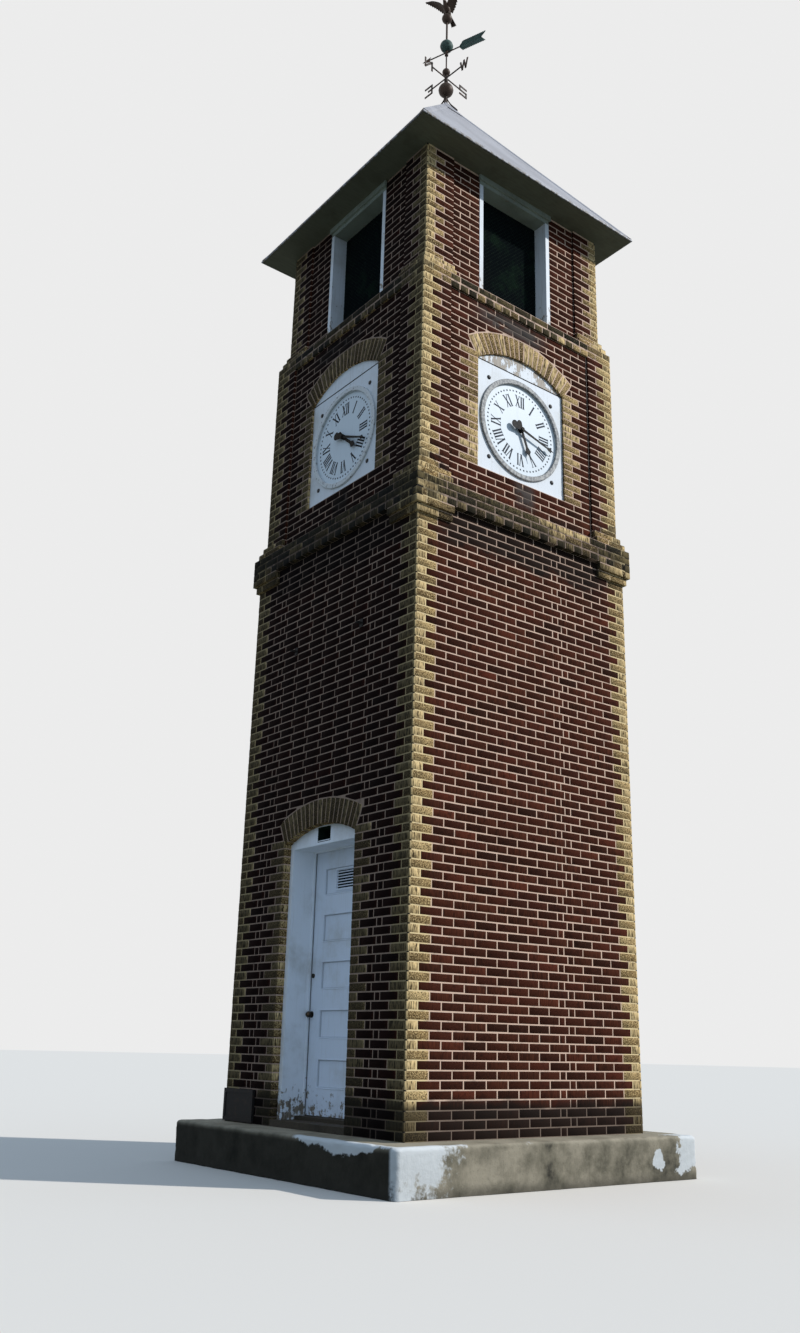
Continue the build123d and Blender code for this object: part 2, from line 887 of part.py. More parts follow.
frame_opening_half = opening_half - frame_wood
frame_opening_bottom = stage_top + frame_sill
frame_opening_top = soffit_bottom - cornice_height - frame_head

frame_post_middle = opening_half - frame_wood / 2
frame_middle = (frame_face + frame_back) / 2

with BuildPart() as frame_post_pair:
    with BuildSketch(level(frame_opening_bottom)):
        with Locations((frame_post_middle, -frame_middle), (-frame_post_middle, -frame_middle)):
            Rectangle(frame_wood, frame_depth)
    extrude(amount=frame_opening_top - frame_opening_bottom)

belfry_frame_posts = on_sides(frame_post_pair)

with BuildPart() as frame_rail_pair:
    with BuildSketch(face_plane(frame_back)):
        with Locations((0, (stage_top + frame_opening_bottom) / 2)):
            Rectangle(2 * opening_half, frame_sill)
        with Locations((0, (frame_opening_top + soffit_bottom) / 2)):
            Rectangle(2 * opening_half, soffit_bottom - frame_opening_top)
    extrude(amount=frame_depth)

belfry_frame_rails = on_sides(frame_rail_pair)

with BuildPart() as cornice:
    with BuildSketch(face_plane(frame_face)):
        with Locations((0, soffit_bottom - cornice_height / 2)):
            Rectangle(2 * (opening_half + cornice_overlap), cornice_height)
    extrude(amount=cornice_proud)

belfry_cornices = on_sides(cornice)

with BuildPart() as belfry_screen:
    with BuildSketch(face_plane(frame_back + screen_setback)):
        with Locations((0, (frame_opening_bottom + frame_opening_top) / 2)):
            Rectangle(2 * frame_opening_half, frame_opening_top - frame_opening_bottom)
    extrude(amount=screen_thickness)

belfry_screens = on_sides(belfry_screen)

deck_bottom = stage_top - deck_thickness

with BuildPart() as belfry_floor:
    with BuildSketch(level(deck_bottom)):
        Rectangle(2 * clock_core, 2 * clock_core)
        with GridLocations(2 * pier_middle, 2 * pier_middle, 2, 2):
            Rectangle(clock_pier, clock_pier, mode=Mode.SUBTRACT)
    extrude(amount=deck_thickness)
    with BuildSketch(level(deck_bottom - joist_depth)):
        with GridLocations(joist_spacing, 0, joist_count, 1):
            Rectangle(joist_width, 2 * clock_core)
    extrude(amount=joist_depth)

# Soffit and roof

soffit_width = soffit_half - belfry_core
soffit_middle = belfry_core + soffit_width / 2

with BuildPart() as soffit_ends:
    with BuildSketch(level(soffit_bottom)):
        with Locations((0, soffit_middle), (0, -soffit_middle)):
            Rectangle(2 * soffit_half, soffit_width)
    extrude(amount=soffit_thickness)

with BuildPart() as soffit_sides:
    with BuildSketch(level(soffit_bottom)):
        with Locations((soffit_middle, 0), (-soffit_middle, 0)):
            Rectangle(soffit_width, 2 * belfry_core)
    extrude(amount=soffit_thickness)

inner_drop = roof_thickness / cos(atan2(roof_rise, roof_half)) / pitch_ratio


def roof_slopes(first_turn):
    """Two opposite slopes of the pyramid roof, mitred along the hips."""
    with BuildPart() as slopes:
        with BuildSketch(level(roof_bottom)):
            Rectangle(2 * roof_half, 2 * roof_half)
        with BuildSketch(level(roof_cut)):
            Rectangle(2 * roof_top_half, 2 * roof_top_half)
        loft()
        with BuildSketch(level(roof_bottom)):
            Rectangle(2 * (roof_half - inner_drop), 2 * (roof_half - inner_drop))
        with BuildSketch(level(roof_bottom + (roof_half - inner_drop - cap_top_half) * pitch_ratio)):
            Rectangle(2 * cap_top_half, 2 * cap_top_half)
        loft(mode=Mode.SUBTRACT)
        with BuildSketch(level(roof_bottom)):
            Rectangle(2 * cap_top_half, 2 * cap_top_half)
        extrude(amount=roof_rise, mode=Mode.SUBTRACT)
        with BuildSketch(level(roof_bottom)):
            Polygon((0, 0), (roof_half, roof_half), (-roof_half, roof_half), align=None, rotation=first_turn)
            Polygon((0, 0), (roof_half, roof_half), (-roof_half, roof_half), align=None, rotation=first_turn + 180)
        extrude(amount=roof_rise, mode=Mode.INTERSECT)
    return slopes


roof_ends = roof_slopes(0)
roof_sides = roof_slopes(90)

# Weather vane: cap, legs and stem on the roof

cap_height = (roof_top_half - cap_top_half) * pitch_ratio
roof_angle = atan2(roof_rise, roof_half)
stem_top = roof_cut + stem_height

with BuildPart() as vane_mount:
    with BuildSketch(level(roof_cut)):
        Rectangle(2 * roof_top_half, 2 * roof_top_half)
    with BuildSketch(level(roof_cut + cap_height)):
        Rectangle(2 * cap_top_half, 2 * cap_top_half)
    loft()
    with BuildSketch(level(roof_cut)):
        Circle(stem_radius)
    extrude(amount=stem_height)
    with BuildSketch(Plane.XZ.offset(-leg_width / 2)):
        with BuildLine():
            foot_x = roof_top_half + leg_run
            foot_z = roof_cut - leg_run * pitch_ratio
            head_z = roof_cut + cap_height
            lift_x = leg_thickness * sin(roof_angle)
            lift_z = leg_thickness * cos(roof_angle)
            Polyline(
                (0, head_z),
                (cap_top_half, head_z),
                (foot_x, foot_z),
                (foot_x + lift_x, foot_z + lift_z),
                (cap_top_half + lift_x, head_z + lift_z),
                (0, head_z + leg_thickness),
                close=True,
            )
        make_face()
    leg = extrude(amount=leg_width)
    with PolarLocations(0, side_count):
        add(leg)

# Fixed rod, balls and compass arms

big_ball_level = stem_top + sqrt(big_ball_radius**2 - stem_radius**2)
hub_bottom = big_ball_level + sqrt(big_ball_radius**2 - hub_radius_low**2)
small_ball_centre = roof_cut + small_ball_level
hub_top = small_ball_centre - sqrt(small_ball_radius**2 - hub_radius_high**2)
collar_bottom = roof_cut + collar_level
collar_top = collar_bottom + collar_height

with BuildPart() as vane_rod:
    with BuildSketch(level(stem_top)):
        Circle(rod_radius)
    extrude(amount=collar_top - stem_top)
    with BuildSketch(level(collar_bottom)):
        Circle(collar_radius)
    extrude(amount=collar_height)
    with BuildSketch(level(collar_top)):
        Circle(pivot_radius)
    extrude(amount=pivot_length)

with BuildPart() as mast_balls:
    with Locations((0, 0, big_ball_level)):
        Sphere(big_ball_radius)
    with Locations((0, 0, small_ball_centre)):
        Sphere(small_ball_radius)
    with BuildSketch(level(hub_bottom)):
        Circle(big_ball_radius)
    extrude(amount=hub_top - hub_bottom, mode=Mode.SUBTRACT)
    with BuildSketch(level(roof_cut)):
        Circle(big_ball_radius)
    extrude(amount=stem_height, mode=Mode.SUBTRACT)
    with BuildSketch(level(roof_cut)):
        Circle(rod_radius + ball_fit)
    extrude(amount=collar_level, mode=Mode.SUBTRACT)


def strokes(points):
    """Flat letter strokes along a chain of points, each stroke of one width."""
    for (x0, y0), (x1, y1) in zip(points, points[1:]):
        angle = degrees(atan2(y1 - y0, x1 - x0))
        length = sqrt((x1 - x0) ** 2 + (y1 - y0) ** 2) + letter_stroke
        with Locations(Location(((x0 + x1) / 2, (y0 + y1) / 2, 0), (0, 0, angle))):
            Rectangle(length, letter_stroke)


letter_left = letter_start + letter_stroke / 2
letter_right = letter_start + letter_width - letter_stroke / 2
letter_middle = letter_start + letter_width / 2
letter_quarter = letter_left + (letter_right - letter_left) / 4
letter_three_quarters = letter_right - (letter_right - letter_left) / 4
letter_top = (letter_height - letter_stroke) / 2
letter_bottom = -letter_top
letter_chains = {
    "W": [
        [
            (letter_left, letter_top),
            (letter_quarter, letter_bottom),
            (letter_middle, letter_top),
            (letter_three_quarters, letter_bottom),
            (letter_right, letter_top),
        ]
    ],
    "S": [
        [
            (letter_right, letter_top),
            (letter_left, letter_top),
            (letter_left, 0),
            (letter_right, 0),
            (letter_right, letter_bottom),
            (letter_left, letter_bottom),
        ]
    ],
    "E": [
        [
            (letter_right, letter_top),
            (letter_left, letter_top),
            (letter_left, letter_bottom),
            (letter_right, letter_bottom),
        ],
        [(letter_left, 0), (letter_middle, 0)],
    ],
    "N": [
        [
            (letter_left, letter_bottom),
            (letter_left, letter_top),
            (letter_right, letter_bottom),
            (letter_right, letter_top),
        ]
    ],
}
arm_azimuths = {"W": 0, "S": 90, "E": 180, "N": 270}

with BuildPart() as compass_arms:
    with BuildSketch(level(hub_bottom)):
        Circle(hub_radius_low)
    with BuildSketch(level(hub_top)):
        Circle(hub_radius_high)
    loft()
    for letter, azimuth in arm_azimuths.items():
        arm_angle = radians(azimuth + arm_turn)
        arm_axis = (cos(arm_angle), sin(arm_angle), 0)
        arm_side = (sin(arm_angle), -cos(arm_angle), 0)
        arm_centre = (0, 0, roof_cut + arm_level)
        with BuildSketch(Plane(origin=arm_centre, x_dir=arm_side, z_dir=arm_axis)):
            Circle(arm_radius)
        extrude(amount=letter_start + letter_hold)
        with BuildSketch(Plane(origin=arm_centre, x_dir=arm_axis, z_dir=arm_side)):
            for chain in letter_chains[letter]:
                strokes(chain)
        extrude(amount=letter_thickness / 2, both=True)
    with BuildSketch(level(hub_bottom)):
        Circle(rod_radius + ball_fit)
    extrude(amount=hub_top - hub_bottom, mode=Mode.SUBTRACT)

# Turning arrow, feather, balls and bird

arrow_bottom = collar_top + swivel_gap
arrow_hub_top = arrow_bottom + arrow_hub_height
arrow_angle = radians(arrow_turn)
arrow_centre = Vector(0, 0, arrow_bottom + arrow_lift)
arrow_axis = Vector(cos(arrow_angle), sin(arrow_angle), 0)
arrow_side = Vector(sin(arrow_angle), -cos(arrow_angle), 0)
feather_root = arrow_centre - arrow_axis * feather_start

with BuildPart() as vane_arrow:
    with BuildSketch(level(arrow_bottom)):
        Circle(arrow_hub_radius)
    extrude(amount=arrow_hub_height)
    with BuildSketch(Plane(origin=feather_root, x_dir=arrow_side, z_dir=arrow_axis)):
        Circle(arrow_radius)
    extrude(amount=feather_start + arrow_notch + arrow_hold)
    with BuildSketch(Plane(origin=arrow_centre, x_dir=arrow_axis, z_dir=arrow_side)):
        Polygon(
            (arrow_tip, 0),
            (arrow_barb, arrow_head_half),
            (arrow_notch, 0),
            (arrow_barb, -arrow_head_half),
            align=None,
        )
    extrude(amount=arrow_plate / 2, both=True)
    with BuildSketch(level(arrow_bottom)):
        Circle(pivot_radius + pivot_fit)
    extrude(amount=pivot_length + pivot_fit, mode=Mode.SUBTRACT)

with BuildPart() as vane_feather:
    with BuildSketch(Plane(origin=arrow_centre, x_dir=arrow_axis, z_dir=arrow_side)):
        Polygon(
            (-feather_start, arrow_radius),
            (-feather_start - feather_shoulder, feather_half),
            (-feather_end, feather_half),
            (-feather_end + feather_notch, 0),
            (-feather_end, -feather_half),
            (-feather_start - feather_shoulder, -feather_half),
            (-feather_start, -arrow_radius),
            align=None,
        )
    extrude(amount=arrow_plate / 2, both=True)
    with BuildSketch(Plane(origin=feather_root, x_dir=arrow_side, z_dir=arrow_axis)):
        Circle(feather_spine)
    extrude(amount=feather_start - feather_end + feather_notch)

vane_ball_centre = arrow_hub_top + sqrt(vane_ball_radius**2 - arrow_hub_radius**2)
top_ball_centre = roof_cut + top_ball_level
perch_top = top_ball_centre + top_ball_radius + perch_height

with BuildPart() as vane_balls:
    with Locations((0, 0, vane_ball_centre)):
        Sphere(vane_ball_radius)
    with Locations((0, 0, top_ball_centre)):
        Sphere(top_ball_radius)
    with BuildSketch(level(vane_ball_centre)):
        Circle(tube_radius)
    extrude(amount=top_ball_centre - vane_ball_centre)
    with BuildSketch(level(top_ball_centre)):
        Circle(perch_radius)
    extrude(amount=perch_top - top_ball_centre)
    with BuildSketch(level(arrow_hub_top)):
        Circle(vane_ball_radius)
    extrude(amount=-arrow_hub_height, mode=Mode.SUBTRACT)

bird_level = perch_top + bird_legs
bird_front = radians(bird_turn)


def bird_direction(azimuth, rise):
    """Unit vector at an azimuth from the bird's front and a rise above level, in degrees."""
    heading = bird_front + radians(azimuth)
    return Vector(cos(heading) * cos(radians(rise)), sin(heading) * cos(radians(rise)), sin(radians(rise)))


bird_centre = Vector(0, 0, bird_level)
body_axis = bird_direction(0, bird_body_pitch)
bird_side = bird_direction(90, 0)


def flat_feathers(heading, chord, outline, thickness):
    """Thin plate in the plane of its own length and chord, from the middle of the body."""
    normal = heading.cross(chord)
    with BuildSketch(Plane(origin=bird_centre, x_dir=heading, z_dir=normal)) as plate:
        Polygon(*outline, align=None)
    extrude(plate.sketch, amount=thickness / 2, both=True)


wing_outline = [
    (0, wing_root_chord),
    (wing_elbow, wing_elbow_chord),
    (wing_span, 0),
    (wing_elbow, -wing_trail / 2),
    (0, -wing_trail),
]
tail_outline = [(0, tail_root), (tail_length, tail_half), (tail_length, -tail_half), (0, -tail_root)]

with BuildPart() as vane_bird:
    with BuildSketch(Plane(origin=bird_centre, x_dir=body_axis, z_dir=bird_side)):
        with BuildLine():
            ThreePointArc((-bird_body_length / 2, 0), (0, bird_body_radius), (bird_body_length / 2, 0))
            Line((bird_body_length / 2, 0), (-bird_body_length / 2, 0))
        make_face()
    revolve(axis=Axis(bird_centre, body_axis))
    with BuildSketch(level(perch_top)):
        Circle(perch_radius)
    extrude(amount=bird_legs)
    head_centre = bird_centre + bird_direction(0, 0) * bird_head_forward + Vector(0, 0, bird_head_rise)
    with Locations(head_centre):
        Sphere(bird_head_radius)
    with Locations(Plane(origin=head_centre, x_dir=bird_side, z_dir=bird_direction(0, 0)).location):
        beak_reach = bird_head_radius + bird_beak_length
        Cone(bird_beak_radius, bird_beak_tip, beak_reach, align=(Align.CENTER, Align.CENTER, Align.MIN))
    for side in (1, -1):
        wing_heading = bird_direction(side * wing_azimuth, wing_rise)
        wing_chord = bird_direction(side * (wing_azimuth - 90), 0)
        flat_feathers(wing_heading, wing_chord, wing_outline, wing_thickness)
    flat_feathers(bird_direction(180, -tail_droop), bird_side, tail_outline, tail_thickness)

# Files

pieces = {
    "plinth": plinth,
    "shaft_back_wall": shaft_back_wall,
    "shaft_side_walls": shaft_side_walls,
    "shaft_front_piers": shaft_front_piers,
    "shaft_over_door": shaft_over_door,
    "door_arch": door_arch,
    "door_sill": door_sill,
    "door_jambs": door_jambs,
    "door_head": door_head,
    "transom_board": transom_board,
    "door_leaf": door_leaf,
    "door_vent": door_vent,
    "door_knobs": door_knobs,
    "door_hinges": door_hinges,
    "leaf_hinges": leaf_hinges,
    "utility_cover": utility_cover,
    "wall_brackets": wall_brackets,
    "corbel_band_ends": corbel_band_ends,
    "corbel_band_sides": corbel_band_sides,
    "corbel_corners": corbel_corners,
    "clock_piers": clock_piers,
    "clock_panels": clock_panels,
    "clock_jambs": clock_jambs,
    "clock_arches": clock_arches,
    "belfry_sills": belfry_sills,
    "clock_boards": clock_boards,
    "clock_tympana": clock_tympana,
    "clock_dials": clock_dials,
    "clock_bezels": clock_bezels,
    "hand_arbors": hand_arbors,
    "belfry_corner_steps": belfry_corner_steps,
    "belfry_piers": belfry_piers,
    "belfry_side_panels": belfry_side_panels,
    "belfry_frame_posts": belfry_frame_posts,
    "belfry_frame_rails": belfry_frame_rails,
    "belfry_cornices": belfry_cornices,
    "belfry_screens": belfry_screens,
    "belfry_floor": belfry_floor,
    "soffit_ends": soffit_ends,
    "soffit_sides": soffit_sides,
    "roof_ends": roof_ends,
    "roof_sides": roof_sides,
    "vane_mount": vane_mount,
    "vane_rod": vane_rod,
    "mast_balls": mast_balls,
    "compass_arms": compass_arms,
    "vane_arrow": vane_arrow,
    "vane_feather": vane_feather,
    "vane_balls": vane_balls,
    "vane_bird": vane_bird,
}
for side in side_turns:
    pieces[f"hour_hand_{side}"] = hour_hands[side]
    pieces[f"minute_hand_{side}"] = minute_hands[side]

os.makedirs("parts", exist_ok=True)
for name, piece in pieces.items():
    piece.part.label = name
    export_step(piece.part, f"parts/{name}.step")
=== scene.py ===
"""Brickwork, paint and metalwork of a brick clock tower, laid over the frame of its CAD model."""

import logging
from collections.abc import Sequence
from dataclasses import dataclass, field, fields
from enum import Enum
from typing import Any

import bpy
import numpy as np
from mathutils import Matrix, Vector


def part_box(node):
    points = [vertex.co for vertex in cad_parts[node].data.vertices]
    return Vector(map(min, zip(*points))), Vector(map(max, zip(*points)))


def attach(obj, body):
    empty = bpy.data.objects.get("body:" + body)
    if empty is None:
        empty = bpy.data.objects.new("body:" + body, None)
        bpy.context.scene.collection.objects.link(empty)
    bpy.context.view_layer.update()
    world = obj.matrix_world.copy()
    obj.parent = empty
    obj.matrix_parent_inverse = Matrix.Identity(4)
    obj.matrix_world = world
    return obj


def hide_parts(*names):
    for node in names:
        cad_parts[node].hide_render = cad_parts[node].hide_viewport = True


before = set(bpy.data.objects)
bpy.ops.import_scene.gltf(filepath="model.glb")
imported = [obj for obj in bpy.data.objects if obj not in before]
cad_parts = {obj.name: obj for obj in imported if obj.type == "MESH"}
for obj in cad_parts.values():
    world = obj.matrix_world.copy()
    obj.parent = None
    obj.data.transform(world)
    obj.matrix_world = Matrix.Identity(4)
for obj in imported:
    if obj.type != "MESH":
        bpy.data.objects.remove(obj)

log = logging.getLogger("clock_tower")
Array = np.ndarray
Colour = tuple[int, int, int]

COURSE = 0.066675
JOINT = 0.009525
HEIGHT = COURSE - JOINT
CORNERS = ((-1, -1), (-1, 1), (1, -1), (1, 1))
LOW, HIGH = 0, 1
X, Y, Z = 0, 1, 2


class Side(Enum):
    """The four sides of the tower, with the turn in quarters from the front."""

    FRONT = 0
    RIGHT = 1
    BACK = 2
    LEFT = 3

    @property
    def odd(self) -> int:
        """1 on the right and the left, where headers and stretchers change places, else 0."""
        return self.value % 2

    def place(self, points: Array) -> Array:
        """Carry (along the wall, out from the middle, up) to (x, y, z) by x = c u + s out, y = s u - c out.

        Args:
            points: Array whose last axis holds u, out and z.

        Returns:
            The same points in the tower's frame.
        """
        turn = self.value * np.pi / 2
        c, s = np.round(np.cos(turn)), np.round(np.sin(turn))
        u, out, z = points[..., 0], points[..., 1], points[..., 2]
        return np.stack([c * u + s * out, s * u - c * out, z], axis=-1)


class Kind(Enum):
    """Which clay a brick is made of. A spacer keeps room for a corner brick."""

    BROWN = 0
    BUFF = 1
    SPACER = 2


@dataclass
class Shape:
    """A surface as arrays: points, four- and three-sided faces, and one number a point under each name."""

    points: Array
    quads: Array = field(default_factory=lambda: np.zeros((0, 4), np.int64))
    triangles: Array = field(default_factory=lambda: np.zeros((0, 3), np.int64))
    values: dict[str, Array] = field(default_factory=dict)

    def on(self, side: Side) -> "Shape":
        """The surface carried from (u, out, z) to one side of the tower."""
        return Shape(side.place(self.points), self.quads, self.triangles, self.values)

    def moved(self, matrix: Sequence[Sequence[float]] | Array, offset: Sequence[float]) -> "Shape":
        """The surface with each point p taken to matrix p + offset."""
        points = self.points @ np.asarray(matrix).T + np.asarray(offset)
        return Shape(points, self.quads, self.triangles, self.values)

    def turned(self, angle: float, offset: Sequence[float] = (0, 0, 0)) -> "Shape":
        """The surface turned about the z axis by an angle in radians, then shifted."""
        c, s = np.cos(angle), np.sin(angle)
        return self.moved([[c, -s, 0], [s, c, 0], [0, 0, 1]], offset)

    def flipped(self) -> "Shape":
        """The surface with its faces looking the other way."""
        return Shape(self.points, self.quads[:, ::-1], self.triangles[:, ::-1], self.values)


def joined(shapes: Sequence[Shape]) -> Shape:
    """Put surfaces into one by shifting each one's face numbers past the points before it.

    Args:
        shapes: Surfaces to join. A value that one lacks is 0 there.

    Returns:
        One surface.
    """
    starts = np.cumsum([0] + [len(shape.points) for shape in shapes[:-1]])
    names = sorted({name for shape in shapes for name in shape.values})
    return Shape(
        np.concatenate([shape.points for shape in shapes]),
        np.concatenate([shape.quads + start for shape, start in zip(shapes, starts)]),
        np.concatenate([shape.triangles + start for shape, start in zip(shapes, starts)]),
        {
            name: np.concatenate([shape.values.get(name, np.zeros(len(shape.points))) for shape in shapes])
            for name in names
        },
    )


def welded(shape: Shape) -> Shape:
    """Make points of one place one point, and turn four-sided faces that lose a corner into triangles.

    Args:
        shape: Surface with doubled points at seams and poles.

    Returns:
        The closed surface.
    """
    keys = np.round(shape.points * 1e6).astype(np.int64)
    _, first, back = np.unique(keys, axis=0, return_index=True, return_inverse=True)
    back = back.reshape(-1)
    quads = back[shape.quads]
    same = quads == np.roll(quads, -1, axis=1)
    count = same.sum(axis=1)
    around = (np.argmax(same, axis=1)[:, None] + np.arange(1, 4)) % 4
    corners = np.take_along_axis(quads, around, axis=1)[count == 1]
    triangles = np.concatenate([back[shape.triangles], corners])
    whole = (triangles != np.roll(triangles, -1, axis=1)).all(axis=1)
    values = {name: value[first] for name, value in shape.values.items()}
    return Shape(shape.points[first], quads[count == 0], triangles[whole], values)


def grid(points: Array, closed: bool = False) -> Shape:
    """Join a grid of points: each cell runs (i, j), (i + 1, j), (i + 1, j + 1), (i, j + 1).

    Args:
        points: Array of rows, columns and three coordinates.
        closed: Joins the last row to the first.

    Returns:
        The surface, which looks along (row direction) x (column direction).
    """
    rows, columns = points.shape[:2]
    i, j = np.meshgrid(np.arange(rows if closed else rows - 1), np.arange(columns - 1), indexing="ij")
    i, j = i.ravel(), j.ravel()
    ahead = (i + 1) % rows
    quads = np.stack([i * columns + j, ahead * columns + j, ahead * columns + j + 1, i * columns + j + 1], axis=1)
    return Shape(points.reshape(-1, 3), quads)


def ringed(corners: Sequence[tuple[Array, Array, Array]]) -> Shape:
    """Join rows of (x, y, z) points, one row a corner, into a ring whose last row meets its first."""
    return grid(np.stack([np.stack(np.broadcast_arrays(*corner), axis=-1) for corner in corners]), closed=True)


def lathe(profile: Sequence[Sequence[float]] | Array, segments: int) -> Shape:
    """Turn a profile of (radius, height) about the z axis: (r cos a, r sin a, h), then close its poles.

    Args:
        profile: Rows of radius and height, going up along the outside.
        segments: Steps round the axis.

    Returns:
        The closed surface.
    """
    angle = np.linspace(0, 2 * np.pi, segments, endpoint=False)[:, None]
    radius, height = np.asarray(profile, float).T[:, None, :]
    points = np.stack([radius * np.cos(angle), radius * np.sin(angle), height + 0 * angle], axis=-1)
    return welded(grid(points, closed=True))


def smooth_line(points: Sequence[Sequence[float]] | Array, count: int) -> Array:
    """Run a Catmull-Rom curve through points: a cubic whose slope at each is half the step between its neighbours.

    Args:
        points: Points to pass through, of any number of coordinates.
        count: Points to return, evenly spread over the pieces.

    Returns:
        Points along the curve.
    """
    p = np.asarray(points, float)
    padded = np.concatenate([[2 * p[0] - p[1]], p, [2 * p[-1] - p[-2]]])
    t = np.linspace(0, len(p) - 1, count)
    k = np.minimum(t.astype(int), len(p) - 2)
    f = (t - k)[:, None]
    a, b, c, d = padded[k], padded[k + 1], padded[k + 2], padded[k + 3]
    return 0.5 * (2 * b + (c - a) * f + (2 * a - 5 * b + 4 * c - d) * f**2 + (3 * b - a - 3 * c + d) * f**3)


def tube(path: Array, radii: Array, segments: int, up: Sequence[float] = (0.0, 0.0, 1.0)) -> Shape:
    """Carry an ellipse along a path: centre + across cos(a) n + tall sin(a) b, where b is square to the path and n.

    Args:
        path: Points of the middle line.
        radii: One radius or a (sideways, upright) pair at each point.
        segments: Steps round the tube.
        up: Direction that the tall radius leans towards.

    Returns:
        The tube, closed where a radius is 0.
    """
    along = np.gradient(path, axis=0)
    along /= np.linalg.norm(along, axis=1, keepdims=True)
    across = np.cross(along, np.asarray(up, float))
    across /= np.linalg.norm(across, axis=1, keepdims=True)
    tall = np.cross(along, across)
    pair = radii if radii.ndim == 2 else np.stack([radii, radii], axis=1)
    angle = np.linspace(0, 2 * np.pi, segments, endpoint=False)[:, None, None]
    points = path + np.cos(angle) * across * pair[:, :1] + np.sin(angle) * tall * pair[:, 1:]
    return welded(grid(points, closed=True))


WAVES = 10


def wobble(points: Array, wavelength: float, seed: int) -> Array:
    """Smooth unevenness: the sum of sine waves of random direction, about one wavelength long, over its root.

    Args:
        points: Array whose last axis holds coordinates.
        wavelength: Typical length of a bump, in metres.
        seed: Seed of the waves.

    Returns:
        One value a point, mostly from -1 to 1.
    """
    rng = np.random.default_rng(seed)
    direction = rng.normal(size=(WAVES, points.shape[-1]))
    length = wavelength * np.linalg.norm(direction, axis=1)[:, None]
    direction *= rng.uniform(0.6, 1.6, (WAVES, 1)) * 2 * np.pi / length
    return np.sin(points @ direction.T + rng.uniform(0, 2 * np.pi, WAVES)).sum(axis=-1) / np.sqrt(WAVES)


def chamfered_boxes(low: Array, high: Array, edge: float) -> Shape:
    """Boxes with every edge cut: a corner is three points, each drawn in by the edge along two axes.

    Args:
        low: Lowest corners, one row a box.
        high: Highest corners.
        edge: Width of the cut.

    Returns:
        All boxes as one surface.
    """
    signs = np.array([[x, y, z] for x in (0, 1) for y in (0, 1) for z in (0, 1)])
    inward = (1 - 2 * signs)[:, None, :] * (1 - np.eye(3))[None]
    cube = low[:, None, None, :] + signs[None, :, None, :] * (high - low)[:, None, None, :]
    template = cube + inward[None] * edge
    step = (4, 2, 1)
    loops: list[list[int]] = []
    for axis in range(3):
        first, second = [other for other in range(3) if other != axis]
        for base in (0, step[axis]):
            square = [base, base + step[first], base + step[first] + step[second], base + step[second]]
            loops.append([corner * 3 + axis for corner in square])
        for base in (0, step[second], step[first], step[first] + step[second]):
            tip = base + step[axis]
            loops.append([base * 3 + first, tip * 3 + first, tip * 3 + second, base * 3 + second])
    corners = [[corner * 3, corner * 3 + 1, corner * 3 + 2] for corner in range(8)]
    unit = (signs[:, None, :] + inward * 0.2).reshape(-1, 3) - 0.5

    def outward(faces: list[list[int]]) -> Array:
        """Number the faces for every box, those turned round whose normal looks at the middle of the unit box.

        Args:
            faces: Point numbers of the faces of one box.

        Returns:
            Point numbers of the faces of all boxes.
        """
        array = np.array(faces)
        normal = np.cross(unit[array[:, 1]] - unit[array[:, 0]], unit[array[:, 2]] - unit[array[:, 0]])
        inside = (normal * unit[array].mean(axis=1)).sum(axis=1) < 0
        array[inside] = array[inside][:, ::-1]
        return (array[None] + (np.arange(len(low)) * len(unit))[:, None, None]).reshape(-1, array.shape[1])

    return Shape(template.reshape(-1, 3), outward(loops), outward(corners))


def raised(outlines: Array, wall: float, proud: Array | float, embed: float, edge: float) -> Shape:
    """Carry flat outlines out of a wall: a back ring, a ring just short of the front, and the front drawn in.

    Args:
        outlines: Outlines of four or six corners in (u, z), anticlockwise seen from outside.
        wall: Distance of the wall plane from the middle of the tower.
        proud: How far each front stands out of the wall.
        embed: How far each back lies behind the wall plane.
        edge: Width of the worn edge.

    Returns:
        All of them as one surface in (u, out, z).
    """
    count, corners = outlines.shape[:2]
    ahead = np.roll(outlines, -1, axis=1) - outlines
    ahead /= np.maximum(np.linalg.norm(ahead, axis=2, keepdims=True), 1e-9)
    inward = np.stack([-ahead[..., 1], ahead[..., 0]], axis=-1)
    before = np.roll(inward, 1, axis=1)
    mitre = (inward + before) / np.maximum(1 + (inward * before).sum(axis=2, keepdims=True), 0.35)
    fronts = outlines + mitre * edge
    height = np.broadcast_to(np.asarray(proud, float), (count,))[:, None]
    rings = [
        np.stack([flat[..., 0], wall + level + 0 * flat[..., 0], flat[..., 1]], axis=-1)
        for flat, level in ((outlines, -embed), (outlines, height - edge), (fronts, height))
    ]
    i = np.arange(corners)
    j = (i + 1) % corners
    walls = [
        np.stack([start + i, start + j, start + corners + j, start + corners + i], 1) for start in (0, corners)
    ]
    caps = np.array([[0, 1, 2, 3]] if corners == 4 else [[0, 1, 4, 5], [1, 2, 3, 4]]) + 2 * corners
    faces = np.concatenate([*walls, caps])[None] + (np.arange(count) * 3 * corners)[:, None, None]
    return Shape(np.stack(rings, axis=1).reshape(-1, 3), faces.reshape(-1, 4))


def placed(name: str, data: bpy.types.ID) -> bpy.types.Object:
    """A new object in the scene.

    Args:
        name: Name of the object.
        data: Its mesh, camera or light.

    Returns:
        The object.
    """
    made = bpy.data.objects.new(name, data)
    bpy.context.scene.collection.objects.link(made)
    return made


